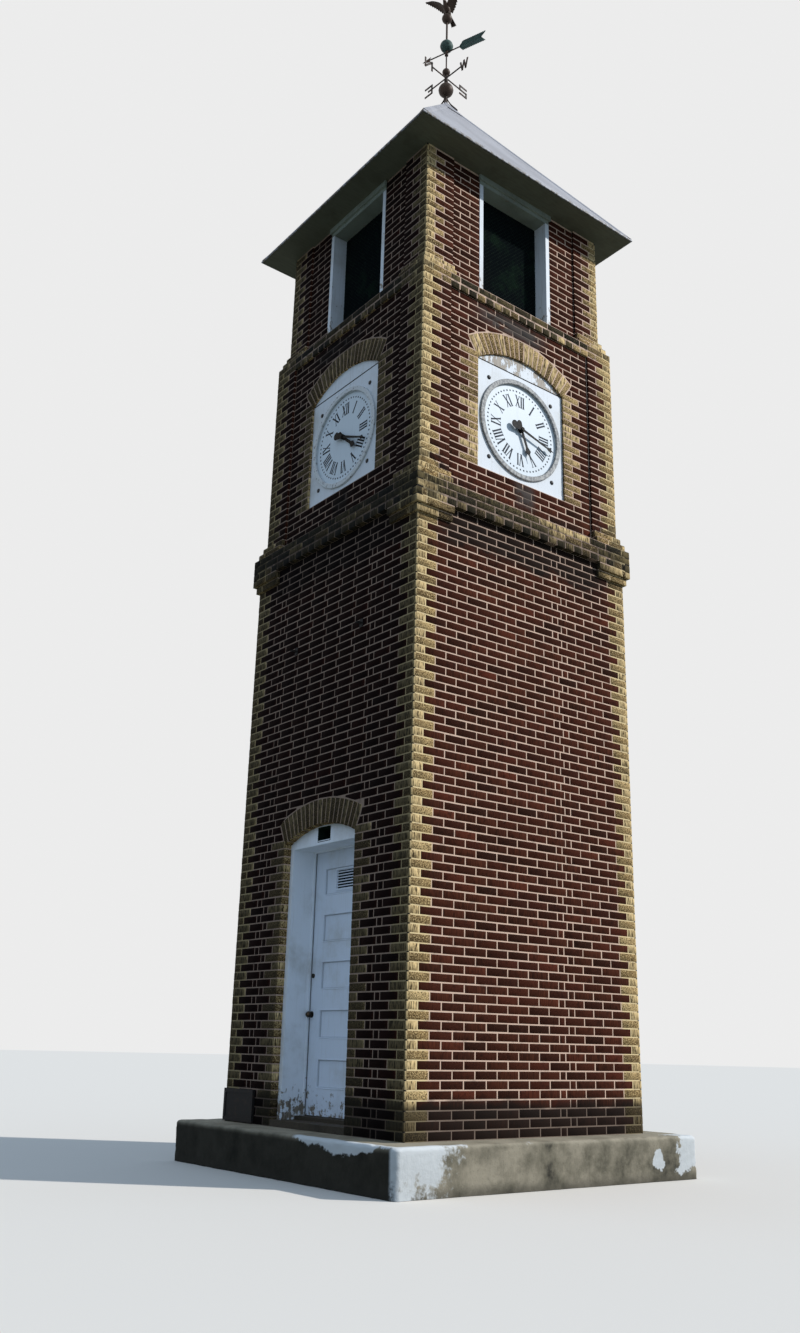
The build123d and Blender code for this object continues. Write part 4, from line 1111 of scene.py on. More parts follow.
class Finishes:
    """Every material of the tower, made once."""

    def __init__(self, levels: Levels) -> None:
        """Make the materials.

        Args:
            levels: Levels of the tower, which the dirt on the masonry follows.
        """
        weather = Weather(levels)
        self.brown = BrickFinish(
            "brown_brick", weather,
            ((46, 27, 20), (54, 29, 21), (66, 34, 24), (72, 37, 26), (57, 31, 23), (90, 44, 31)),
            (30, 18, 13), (92, 51, 35), 0.42, (30, 27, 24),
        ).make()
        self.buff = BrickFinish(
            "buff_brick", weather,
            ((110, 89, 60), (138, 112, 73), (168, 140, 95), (148, 120, 77), (192, 162, 112), (212, 182, 128)),
            (54, 42, 29), (238, 208, 152), 0.95, (40, 37, 30), relief=0.006, damp=0.82, shade=(31, 30, 26),
        ).make()
        self.crusted = BrickFinish(
            "crusted_brick", weather,
            ((38, 35, 29), (58, 52, 40), (88, 77, 54), (34, 32, 27), (118, 102, 69), (50, 46, 35)),
            (27, 25, 21), (116, 102, 72), 0.90, (36, 34, 29), relief=0.006, damp=0.74, shade=(22, 25, 26),
        ).make()
        self.mortar = MortarFinish(weather).make()
        self.concrete = ConcreteFinish().make()
        self.timber()
        self.metal()
        self.dial = DialFinish().make()
        self.roof = RoofFinish().make()
        self.floor = FloorFinish().make()

    def timber(self) -> None:
        """Make the paints on wood, the soffit, the sill and the floor boards."""
        door = {"high": 0.8, "gap": 0.4605}
        above_ground = {"low": 0.0, "high": 0.1}
        # The door's and the frame's coats are bluer and brighter than the board's: painted sky light on the shaded
        # front.
        self.door = PaintFinish(
            "door_paint", (228, 236, 246), peel=0.20, low_peel=0.15, scale=19.0, streaks=0.2, **door
        ).make()
        self.frame = PaintFinish(
            "frame_paint", (244, 249, 254), peel=0.21, low_peel=0.20, scale=17.0, streaks=0.15, **door
        ).make()
        self.board = PaintFinish("board_paint", peel=0.235, scale=17.0, **above_ground).make()
        self.tympanum = PaintFinish(
            "tympanum_paint", wood=(126, 114, 98), peel=0.225, scale=9.0, east_peel=0.17, **above_ground
        ).make()
        self.belfry = PaintFinish(
            "belfry_paint", peel=0.245, low=7.55, high=7.95, low_peel=0.12, scale=15.0
        ).make()
        # The head's coat and dirt colour are darker and greener than the posts': partly dirt, partly painted shade
        # under the eave.
        self.head = PaintFinish(
            "belfry_head_paint", (142, 150, 138), (104, 108, 96), peel=0.265, scale=15.0, **above_ground
        ).make()
        self.soffit = TimberFinish("soffit_paint", (104, 106, 90), (82, 82, 66), lines=0.0).make()
        self.sill = TimberFinish("sill_timber", (66, 60, 50), (34, 33, 29), lines=0.0).make()
        self.deck = TimberFinish("deck_boards", (120, 104, 84), (70, 60, 50)).make()

    def metal(self) -> None:
        """Make the finishes of the clock, the fittings, the screens and the vane."""
        # The numerals' and hands' shaded colours are painted shade on the front and left dials.
        self.numeral = MetalFinish(
            "numeral_paint", (62, 67, 76), (82, 88, 96), scale=60.0, metal=0.0, grain=0.0003, shine=0.05,
            shaded=(14, 17, 26),
        ).make()
        self.bezel = MetalFinish(
            "bezel_zinc", (122, 124, 126), (176, 176, 172), 0.42, 0.60, 38.0, 0.1, 0.6, shine=0.3,
            shaded=(206, 212, 214),
        ).make()
        self.hand = MetalFinish(
            "hand_metal", (38, 37, 36), (80, 75, 67), 0.50, 0.70, 52.0, 0.0, 0.6, shine=0.08, shaded=(13, 13, 15)
        ).make()
        self.bolt = MetalFinish("bolt_iron", (32, 34, 38), (50, 46, 42), 0.5, 0.7, 60.0, 0.0, 0.5, shine=0.25).make()
        # Near-black finish of the strips of painted shadow in the joints over the clock boards.
        self.sealant = MetalFinish(
            "joint_sealant", (34, 33, 31), (58, 54, 48), 0.5, 0.66, 40.0, 0.0, 0.8, shine=0.05
        ).make()
        self.knob = MetalFinish("knob_metal", (70, 62, 52), (44, 38, 32), 0.45, 0.65, 70.0, 0.8, 0.38, 0.0004).make()
        self.cover = MetalFinish(
            "cover_paint", (26, 27, 29), (50, 40, 34), 0.56, 0.68, 18.0, 0.0, 0.7, shine=0.2
        ).make()
        self.wire = MetalFinish(
            "screen_wire", (36, 45, 42), (50, 62, 52), 0.48, 0.62, 24.0, 0.0, 0.8, 0.0002, 0.0
        ).make()
        self.gauze = MetalFinish(
            "screen_gauze", (18, 22, 24), (28, 42, 32), 0.50, 0.66, 3.2, 0.0, 0.85, 0.0002, 0.0
        ).make()
        self.iron = MetalFinish("vane_iron", (44, 38, 34), (86, 56, 38), 0.50, 0.66, 40.0, 0.5, 0.6).make()
        self.dark_copper = MetalFinish(
            "dark_copper", (62, 48, 40), (74, 76, 64), 0.55, 0.68, 34.0, 0.4, 0.5, shine=0.3
        ).make()
        self.verdigris = MetalFinish(
            "verdigris", (66, 92, 86), (42, 58, 56), 0.46, 0.62, 30.0, 0.2, 0.6, shine=0.3
        ).make()


Place = float | Array
Pattern = Sequence[tuple[float, Kind]]

STRETCHER = (0.2172, Kind.BROWN)
CLOSER = (0.0660, Kind.BROWN)
HEADER_END = (0.1048, Kind.SPACER)
STRETCHER_END = (0.2133, Kind.SPACER)
LIP = 0.0024


def outlined(corners: Sequence[tuple[Array, Array]]) -> Array:
    """Outlines from their corners, each given as u and z of all outlines."""
    return np.stack([np.stack(corner, axis=-1) for corner in corners], axis=1)


def rectangle(left: Place, right: Place, low: Place, high: Place) -> list[tuple[Place, Place]]:
    """Four corners in (u, z), anticlockwise."""
    return [(left, low), (right, low), (right, high), (left, high)]


@dataclass
class Bricks:
    """Rectangular bricks on one wall: ends, levels and clay of each."""

    left: Array
    right: Array
    low: Array
    high: Array
    kind: Array

    def where(self, keep: Array) -> "Bricks":
        """The bricks that a mask keeps."""
        return Bricks(*[getattr(self, part.name)[keep] for part in fields(self)])

    def of(self, kind: Kind) -> "Bricks":
        """The bricks of one clay."""
        return self.where(self.kind == kind.value)

    def both_ways(self) -> "Bricks":
        """These bricks, and the same ones seen in a mirror on the middle of the wall."""
        return gathered([self, Bricks(-self.right, -self.left, self.low, self.high, self.kind)])

    def outlines(self) -> Array:
        """Four corners of each brick, anticlockwise."""
        return outlined(rectangle(self.left, self.right, self.low, self.high))


def gathered(lots: Sequence[Bricks]) -> Bricks:
    """Several lots of bricks as one."""
    return Bricks(*[np.concatenate([getattr(lot, part.name) for lot in lots]) for part in fields(Bricks)])


def one_course(edges: Array, low: float) -> Bricks:
    """One course of brown bricks between edges along the wall, each half a joint short at both ends.

    Args:
        edges: Places of the edges, from left to right.
        low: Height of the course's underside.

    Returns:
        The bricks.
    """
    left, right = edges[:-1] + JOINT / 2, edges[1:] - JOINT / 2
    level = np.full_like(left, low)
    return Bricks(left, right, level, level + HEIGHT, 0 * left)


def lay(pattern: Pattern, start: float, courses: Sequence[int], bottom: float, last: float | None = None) -> Bricks:
    """Lay one pattern in several courses. A module is a brick and its joint; modules add up along the wall.

    Args:
        pattern: Module lengths and clays from left to right.
        start: Left edge of the first module.
        courses: Course numbers above the bottom.
        bottom: Height of course 0.
        last: Right end of the last brick, if it isn't its module's.

    Returns:
        The bricks of all the courses.
    """
    lengths = np.array([length for length, _ in pattern])
    ends = start + np.cumsum(lengths)
    left, right = ends - lengths + JOINT / 2, ends - JOINT / 2
    if last is not None:
        right[-1] = last
    rows = np.asarray(courses)[:, None]
    low = bottom + rows * COURSE + JOINT / 2 + 0 * left
    kinds = np.array([kind.value for _, kind in pattern]) + 0 * rows
    return Bricks(*[part.ravel() for part in (left + 0 * low, right + 0 * low, low, low + HEIGHT, kinds)])


def lay_in_turn(
    even: Pattern, odd: Pattern, start: float, courses: range, bottom: float, turn: int = 0, last: float | None = None
) -> Bricks:
    """Lay one pattern in the even courses and another in the odd ones, or the other way round.

    Args:
        even: Pattern of the even courses.
        odd: Pattern of the odd courses.
        start: Left edge of the first module.
        courses: Course numbers above the bottom.
        bottom: Height of course 0.
        turn: 1 to exchange the two.
        last: Right end of the last brick, if it isn't its module's.

    Returns:
        The bricks of all the courses.
    """
    lots = ((even, turn), (odd, 1 - turn))
    return gathered([lay(lot, start, [c for c in courses if c % 2 == rest], bottom, last) for lot, rest in lots])


def beside_corners(kind: Kind, half: float, end: float, courses: range, bottom: float, turn: int) -> Bricks:
    """The bricks beside the corner bricks on both piers of a side: a long one by a header, a short one by a stretcher.

    Args:
        kind: Clay of the bricks.
        half: Half width of the wall.
        end: Where the left pier's bricks end.
        courses: Course numbers above the bottom.
        bottom: Height of course 0.
        turn: 1 on sides whose odd courses have headers at the corners.

    Returns:
        The bricks.
    """
    even, odd = (HEADER_END, (0.2127, kind)), (STRETCHER_END, (0.1042, kind))
    return lay_in_turn(even, odd, -half - JOINT / 2, courses, bottom, turn, end).of(kind).both_ways()


@dataclass
class Arch:
    """A segmental arch ring of upright bricks."""

    half: float
    rise: float
    depth: float
    spring: float
    count: int
    smallest: float = 0.018
    tip: float = 0.014

    def __post_init__(self) -> None:
        """Work out the circle: radius = (half squared + rise squared) / (2 rise)."""
        self.radius = (self.half**2 + self.rise**2) / (2 * self.rise)
        self.centre = self.spring + self.rise - self.radius
        self.outer = self.radius + self.depth
        self.angle = float(np.arctan2(self.half, self.spring - self.centre))
        self.reach = self.outer * np.sin(self.angle)
        self.shoulder = self.centre + self.outer * np.cos(self.angle)

    def arc(self, offset: Array) -> Array:
        """Distance along one axis to the ring's outer arc and one joint, at an offset along the other axis."""
        return np.sqrt(np.maximum((self.outer + JOINT) ** 2 - offset**2, 0))

    def top_at(self, u: Array) -> Array:
        """Height of the ring's outer arc and one joint at a place along the wall, or far below beside it."""
        return np.where(np.abs(u) < self.reach, self.centre + self.arc(u), -1.0)

    def side_at(self, z: Array) -> Array:
        """Half width of the ring and one joint at a height: its slanting shoulder, then its outer arc.

        Args:
            z: Heights.

        Returns:
            Half widths.
        """
        share = np.clip((z - self.spring) / (self.shoulder - self.spring), 0, 1)
        slant = self.half + JOINT + share * (self.reach - self.half)
        return np.where(z < self.shoulder, slant, self.arc(np.maximum(z - self.centre, 0)))

    def voussoirs(self, lip: float) -> Array:
        """Outlines of the ring's bricks: angle and radius steps about the arch's centre.

        Args:
            lip: How far the bricks hang below the ring's inner face.

        Returns:
            Outlines of four corners in (u, z).
        """
        edges = np.linspace(-self.angle, self.angle, self.count + 1)
        first, second = edges[:-1], edges[1:]
        inner, outer = self.radius - lip, self.outer - JOINT / 4
        corners = []
        for side, turn, radius in ((1, first, inner), (-1, second, inner), (-1, second, outer), (1, first, outer)):
            a = turn + side * JOINT / 2 / radius
            corners.append((radius * np.sin(a), self.centre + radius * np.cos(a)))
        return outlined(corners)

    def trimmed(self, bricks: Bricks) -> tuple[Array, Array]:
        """Cut bricks to the ring: ends slant along its shoulders and undersides follow its outer arc.

        Args:
            bricks: Bricks of the courses beside and over the ring.

        Returns:
            Outlines of four corners, and outlines of six corners.
        """
        side = np.where(bricks.left + bricks.right < 0, -1.0, 1.0)
        near, far = np.sort([side * bricks.left, side * bricks.right], axis=0)

        def cut(ring: Sequence[tuple[Array, Array]], order: list[int], keep: Array) -> Array:
            """Outlines of the bricks to keep, with their corners in another order on the left half.

            Args:
                ring: Corners as distance from the middle and height.
                order: Order of the corners on the left half.
                keep: Which bricks to keep.

            Returns:
                The outlines.
            """
            flat = outlined([(side * u, z) for u, z in ring])
            return np.where((side < 0)[:, None, None], flat[:, order], flat)[keep]

        crossing = near < 0
        beside = ~crossing & (bricks.high < self.shoulder + 0.7 * COURSE)
        at_low, at_high = [np.maximum(near, self.side_at(level)) for level in (bricks.low, bricks.high)]
        slant = [(at_low, bricks.low), (far, bricks.low), (far, bricks.high), (at_high, bricks.high)]
        four = cut(slant, [1, 0, 3, 2], beside & (far - np.maximum(at_low, at_high) > self.smallest))

        upper = bricks.high - self.tip
        limit = np.where(upper > self.centre + self.outer + JOINT, 0.0, self.arc(upper - self.centre))
        inner = np.where(crossing, near, np.maximum(near, limit))
        floor = self.arc(bricks.low - self.centre)
        middle = np.where((floor > inner + 0.01) & (floor < far - 0.01), floor, (inner + far) / 2)
        middle = np.where(crossing, 0.0, middle)
        keep = ~beside & (far - inner > 0.02) & ~(crossing & (self.top_at(0 * far) > upper))
        under = [(u, np.maximum(bricks.low, self.top_at(u))) for u in (inner, middle, far)]
        ring = [*under, (far, bricks.high), (middle, bricks.high), (inner, bricks.high)]
        return four, cut(ring, [2, 1, 0, 5, 4, 3], keep)


@dataclass
class Masonry:
    """How bricks are set: how far they stand out, how much they vary, and how worn their edges are."""

    seed: int
    proud: float = 0.0016
    spread: float = 0.0007
    shift: float = 0.0006
    edge: float = 0.0016
    header: float = 0.0953
    stretcher: float = 0.2038

    def __post_init__(self) -> None:
        """Start the seeded variation."""
        self.rng = np.random.default_rng(self.seed)

    def toned(self, shape: Shape, count: int, comb: Array | None = None) -> Shape:
        """Give each of a number of equal solids one tone, and a combed or speckled face.

        Args:
            shape: The solids as one surface.
            count: How many there are.
            comb: 1 for each solid with a combed face, or None to leave it to chance.

        Returns:
            The surface.
        """
        each = len(shape.points) // max(count, 1)
        comb = (self.rng.random(count) < 0.4) * 1.0 if comb is None else comb
        shape.values["tone"] = np.repeat(self.rng.beta(1.3, 1.3, count), each)
        shape.values["comb"] = np.repeat(comb, each)
        return shape

    def faces(self, bricks: Bricks | Array, side: Side, wall: float, embed: float = 0.006) -> Shape:
        """Set bricks into the wall of one side, each a little out of line.

        Args:
            bricks: Bricks, or outlines in (u, z).
            side: Side of the tower.
            wall: Distance of the wall plane.
            embed: Depth behind the plane that stays covered.

        Returns:
            The bricks in the tower's frame.
        """
        outlines = bricks.outlines() if isinstance(bricks, Bricks) else bricks
        count = len(outlines)
        shifted = outlines + self.rng.normal(0, self.shift, (count, 1, 2))
        proud = self.proud + self.rng.uniform(-self.spread, self.spread, count)
        return self.toned(raised(shifted, wall, proud, embed, self.edge), count).on(side)

    def boxes(self, ends: Sequence[tuple[Array, Array]], comb: Array | None = None) -> Shape:
        """Whole bricks, each given by two opposite corners.

        Args:
            ends: Pairs of opposite corners, or of rows of them.
            comb: 1 for each brick with a combed face, or None to leave it to chance.

        Returns:
            The bricks in the tower's frame.
        """
        low = np.concatenate([np.atleast_2d(np.minimum(*pair)) for pair in ends])
        high = np.concatenate([np.atleast_2d(np.maximum(*pair)) for pair in ends])
        return self.toned(chamfered_boxes(low, high, self.edge), len(low), comb)

    def quoins(self, half: float, courses: Sequence[int], bottom: float) -> Shape:
        """Corner bricks, whose long side changes face with each course.

        Args:
            half: Half width of the wall faces.
            courses: Course numbers.
            bottom: Height of course 0.

        Returns:
            The corner bricks of all four corners.
        """
        rows = np.asarray(courses)
        x_long = np.where(rows % 2 == 0, self.header, self.stretcher)
        y_long = np.where(rows % 2 == 0, self.stretcher, self.header)
        low = bottom + rows * COURSE + JOINT / 2
        ends = []
        for x, y in CORNERS:
            out = half + self.proud + self.rng.uniform(-self.spread, self.spread, len(rows))
            outer = np.stack([x * out, y * out, low], axis=1)
            ends.append((outer, np.stack([x * (half - x_long), y * (half - y_long), low + HEIGHT], axis=1)))
        return self.boxes(ends, np.tile((rows % 2 == 1) * 1.0, len(CORNERS)))


@dataclass
class Part:
    """A sub-assembly of the tower: the levels that it is built to and the finishes that it wears."""

    levels: Levels
    finishes: Finishes


@dataclass
class Shaft(Part):
    """Brickwork of the shaft, with the doorway and its arch in the front."""

    courses: int = 73
    door_half: float = 0.515
    door_spring: float = 2.234
    door_rise: float = 0.114
    arch_depth: float = 0.203
    arch_bricks: int = 19
    reveal: float = 0.067
    lip: float = 0.003

    @property
    def door_courses(self) -> int:
        """Courses beside the door, up to the foot of its arch."""
        return int(self.door_spring / COURSE) + 1

    def rows(self, side: Side) -> Bricks:
        """Full courses of one side: headers or stretchers at the ends, stretchers and one closer between.

        Args:
            side: Side of the tower.

        Returns:
            The bricks of all courses, without the corner bricks.
        """
        counts = ((8, 2), (1, 8)) if side is Side.FRONT else ((7, 3), (6, 3))
        even, odd = [
            [end, *[STRETCHER] * before, CLOSER, *[STRETCHER] * after, end]
            for end, (before, after) in zip((HEADER_END, STRETCHER_END), counts)
        ]
        start = -self.levels.shaft - JOINT / 2
        return lay_in_turn(even, odd, start, range(self.courses), self.levels.foot, side.odd).of(Kind.BROWN)

    def beside_door(self) -> Bricks:
        """Courses between the corner and the door, on both sides of it."""
        even = [HEADER_END, STRETCHER, CLOSER, STRETCHER, (0.0988, Kind.BUFF)]
        odd = [STRETCHER_END, STRETCHER, CLOSER, (0.2075, Kind.BUFF)]
        start, end = -self.levels.shaft - JOINT / 2, self.lip - self.door_half
        return lay_in_turn(even, odd, start, range(self.door_courses), self.levels.foot, last=end).both_ways()

    def build(self) -> None:
        """Lay the walls, the corners and the arch."""
        levels, finishes, wall = self.levels, self.finishes, self.levels.shaft
        masonry = Masonry(11)
        spring = levels.foot + self.door_spring
        arch = Arch(self.door_half, self.door_rise, self.arch_depth, spring, self.arch_bricks)
        brown = [masonry.faces(self.rows(side), side, wall) for side in (Side.RIGHT, Side.BACK, Side.LEFT)]
        front = self.rows(Side.FRONT)
        front = front.where(front.low > levels.foot + self.door_courses * COURSE)
        near = front.low < arch.centre + arch.outer + JOINT
        beside = self.beside_door()
        for lot in (front.where(~near), *arch.trimmed(front.where(near)), beside.of(Kind.BROWN)):
            brown.append(masonry.faces(lot, Side.FRONT, wall))
        buff = [masonry.faces(beside.of(Kind.BUFF), Side.FRONT, wall, self.reveal)]
        buff.append(masonry.quoins(wall, range(self.courses), levels.foot))
        ring = masonry.faces(arch.voussoirs(self.lip), Side.FRONT, wall, self.reveal)
        make_piece("shaft_bricks", joined(brown), finishes.brown)
        make_piece("shaft_quoins", joined(buff), finishes.buff)
        make_piece("door_arch_bricks", ring, finishes.buff)
        dress(finishes.mortar, "shaft_back_wall", "shaft_side_walls", "shaft_front_piers", "shaft_over_door")
        dress(finishes.mortar, "door_arch")


@dataclass
class Band(Part):
    """The corbelled band: corner blocks, a row of headers and two rows of crusted stretchers, and steps above it."""

    corner: float = 0.3485
    high_corner: float = 0.3175
    low_half: float = 1.244
    high_steps: tuple[float, float] = (1.242, 1.215)
    drop: float = 0.0012
    embed: float = 0.05
    short: float = 0.1
    long: float = 0.215
    proud: float = 0.002
    pale_shares: tuple[float, float] = (0.30, 0.08)

    def row(self, half: float, low: float, count: int, shift: float) -> Array:
        """Outlines of one course across a wall: equal modules, shifted by part of one.

        Args:
            half: Half width of the course.
            low: Height of its underside.
            count: Modules across the wall.
            shift: Share of a module that the row starts back by.

        Returns:
            Outlines of four corners in (u, z).
        """
        edges = np.linspace(-half, half, count + 1) - shift * 2 * half / count
        course = one_course(np.unique(np.clip(np.append(edges, half), -half, half)), low)
        course.left[0], course.right[-1] = -half - LIP, half + LIP
        return course.outlines()

    def steps(self, masonry: Masonry, half: float, wall: float, low: float, width: float, header_first: bool) -> Shape:
        """Corner blocks of one course: two bricks each way round every corner.

        Args:
            masonry: How the bricks are set.
            half: Half width of the course.
            wall: Face of the wall behind it.
            low: Height of its underside.
            width: How far the blocks reach from the corner of the wall.
            header_first: The brick at the corner shows its short side on the front.

        Returns:
            The blocks of all four corners.
        """
        x_size, y_size = (self.short, self.long) if header_first else (self.long, self.short)
        outer, inner, end = half + self.proud, wall - self.embed, wall - width - self.proud
        blocks = (
            ((outer, half - x_size), (outer, half - y_size)),
            ((half - x_size - JOINT, end), (outer, inner)),
            ((outer, inner), (half - y_size - JOINT, end)),
        )
        ends = [
            (np.array([x * x1, y * y1, low]), np.array([x * x2, y * y2, low + HEIGHT]))
            for x, y in CORNERS
            for (x1, x2), (y1, y2) in blocks
        ]
        return masonry.boxes(ends)

    def build(self) -> None:
        """Lay the courses and dress the backing."""
        levels, half = self.levels, self.levels.band
        masonry = Masonry(23)
        header = self.row(half, levels.band_bottom - self.drop, 24, 0.0)
        pale = np.arange(len(header)) % 2 == 0
        buff: list[Shape] = []
        dark: list[Shape] = []
        for side in Side:
            buff.append(masonry.faces(header[pale], side, half, self.embed))
            dark.append(masonry.faces(header[~pale], side, half, self.embed))
            for course, share in enumerate(self.pale_shares, 1):
                low = levels.band_bottom + course * COURSE + JOINT / 2
                outlines = self.row(half, low, 12, 0.5 * (course - 1))
                pick = masonry.rng.random(len(outlines)) < share
                buff.append(masonry.faces(outlines[pick], side, half))
                dark.append(masonry.faces(outlines[~pick], side, half))
        for course, outer in ((-1, half), (-2, self.low_half)):
            low = levels.band_bottom + course * COURSE - self.drop
            buff.append(self.steps(masonry, outer, levels.shaft, low, self.corner, course % 2 == 0))
        for course, outer in enumerate(self.high_steps):
            low = levels.band_top + course * COURSE + JOINT / 2
            buff.append(self.steps(masonry, outer, levels.clock, low, self.high_corner, course % 2 == 0))
        make_piece("band_pale_bricks", joined(buff), self.finishes.buff)
        make_piece("band_crusted_bricks", joined(dark), self.finishes.crusted)
        dress(self.finishes.mortar, "corbel_band_ends", "corbel_band_sides", "corbel_corners")


@dataclass
class ClockStage(Part):
    """Brickwork of the clock stage: corner piers, sunk panels, dial arches and the course under the belfry."""

    courses: int = 32
    pier: float = 0.3175
    recess: float = 0.020
    opening: float = 0.5335
    rise: float = 0.171
    arch_depth: float = 0.203
    arch_bricks: int = 21
    below: int = 5
    across: int = 8
    overlap: float = 0.004
    pale_share: float = 0.55

    def course_at(self, z: float) -> int:
        """Number of the first course that is wholly above a height."""
        return int((z - self.levels.band_top) / COURSE) + 1

    def running(self, courses: Sequence[int]) -> Bricks:
        """Stretchers across the panel, every other course shifted by half a brick.

        Args:
            courses: Course numbers above the band.

        Returns:
            The bricks.
        """
        half = self.levels.clock - self.pier - self.overlap
        even = np.linspace(-half, half, self.across + 1)
        odd = np.concatenate([[-half], even[:-1] + half / self.across, [half]])
        levels = [(c, self.levels.band_top + c * COURSE + JOINT / 2) for c in courses]
        return gathered([one_course(odd if course % 2 else even, low) for course, low in levels])

    def beside_dial(self) -> Bricks:
        """Bricks between the piers and the opening, buff at the opening."""
        start = self.pier - self.levels.clock + 2 * self.overlap - JOINT / 2
        end = LIP - self.opening
        even, odd = [[(end - start - size, Kind.BROWN), (size, Kind.BUFF)] for size in (0.110, 0.213)]
        courses = range(self.below, self.course_at(self.levels.spring))
        return lay_in_turn(even, odd, start, courses, self.levels.band_top, last=end).both_ways()

    def build(self) -> None:
        """Lay the stage and dress the backing."""
        levels, finishes, half = self.levels, self.finishes, self.levels.clock
        masonry = Masonry(31)
        arch = Arch(self.opening, self.rise, self.arch_depth, levels.spring, self.arch_bricks)
        panel, width, edge = half - self.recess, half - self.pier, self.pier - half
        brown: list[Shape] = []
        buff: list[Shape] = []
        ring: list[Shape] = []
        crusted: list[Shape] = []
        beside = self.beside_dial()
        top, arch_top = self.courses - 2, self.course_at(arch.centre + arch.outer)
        trimmed = arch.trimmed(self.running(range(self.course_at(levels.spring), arch_top)))
        plain = self.running([*range(self.below), *range(arch_top, top)])
        band = Band(levels, finishes)
        header = band.row(width, levels.header - band.drop, 17, 0.0)
        above = band.row(width, levels.header + COURSE + JOINT / 2, self.across, 0.5)
        for side in Side:
            piers = beside_corners(Kind.BROWN, half, edge + LIP, range(top), levels.band_top, side.odd)
            brown.append(masonry.faces(piers, side, half, self.recess))
            brown += [masonry.faces(lot, side, panel) for lot in (beside.of(Kind.BROWN), plain, *trimmed)]
            buff.append(masonry.faces(beside.of(Kind.BUFF), side, panel, self.recess))
            ring.append(masonry.faces(arch.voussoirs(LIP), side, panel, self.recess))
            pale = masonry.rng.random(len(header)) < self.pale_share
            buff.append(masonry.faces(header[pale], side, half, self.recess))
            crusted.append(masonry.faces(header[~pale], side, half, self.recess))
            crusted.append(masonry.faces(above, side, half))
        buff.append(masonry.quoins(half, range(2, self.courses), levels.band_top))
        last_two, end = range(top, self.courses), edge - JOINT / 2
        for side in Side:
            piers = beside_corners(Kind.BUFF, half, end, last_two, levels.band_top, side.odd)
            buff.append(masonry.faces(piers, side, half))
        make_piece("clock_stage_bricks", joined(brown), finishes.brown)
        make_piece("clock_stage_quoins", joined(buff), finishes.buff)
        make_piece("clock_arch_bricks", joined(ring), finishes.buff)
        make_piece("belfry_sill_bricks", joined(crusted), finishes.crusted)
        dress(finishes.mortar, "clock_piers", "clock_panels", "clock_jambs", "clock_arches", "belfry_sills")


@dataclass
class BelfryWalls(Part):
    """Brickwork of the belfry: pale corners with steps at the foot, and brown panels beside the openings."""

    pier: float = 0.3175
    recess: float = 0.018
    opening: float = 0.457
    overlap: float = 0.004
    steps: tuple[float, float] = (1.162, 1.136)
    first: tuple[float, float] = (0.2172, 0.0995)

    def build(self) -> None:
        """Lay the walls and dress the backing."""
        half, bottom = self.levels.belfry, self.levels.stage_top
        masonry = Masonry(43)
        courses = range(int((self.levels.soffit - bottom) / COURSE))
        edge = self.pier - half
        start = edge + self.overlap - JOINT / 2
        width = -self.opening - start
        long, short = [[(size, Kind.BROWN), (width - size, Kind.BROWN)] for size in self.first]
        panels = lay_in_turn(long, short, start, courses, bottom, last=-self.opening).both_ways()
        brown: list[Shape] = []
        for side in Side:
            piers = beside_corners(Kind.BROWN, half, edge + LIP, courses, bottom, side.odd)
            brown.append(masonry.faces(piers, side, half, self.recess))
            brown.append(masonry.faces(panels, side, half - self.recess))
        buff = [masonry.quoins(half, courses, bottom)]
        band = Band(self.levels, self.finishes)
        for course, outer in enumerate(self.steps):
            low = bottom + course * COURSE + JOINT / 2
            buff.append(band.steps(masonry, outer, half, low, self.pier, course % 2 == 0))
        make_piece("belfry_bricks", joined(brown), self.finishes.brown)
        make_piece("belfry_quoins", joined(buff), self.finishes.buff)
        dress(self.finishes.mortar, "belfry_piers", "belfry_side_panels", "belfry_corner_steps")


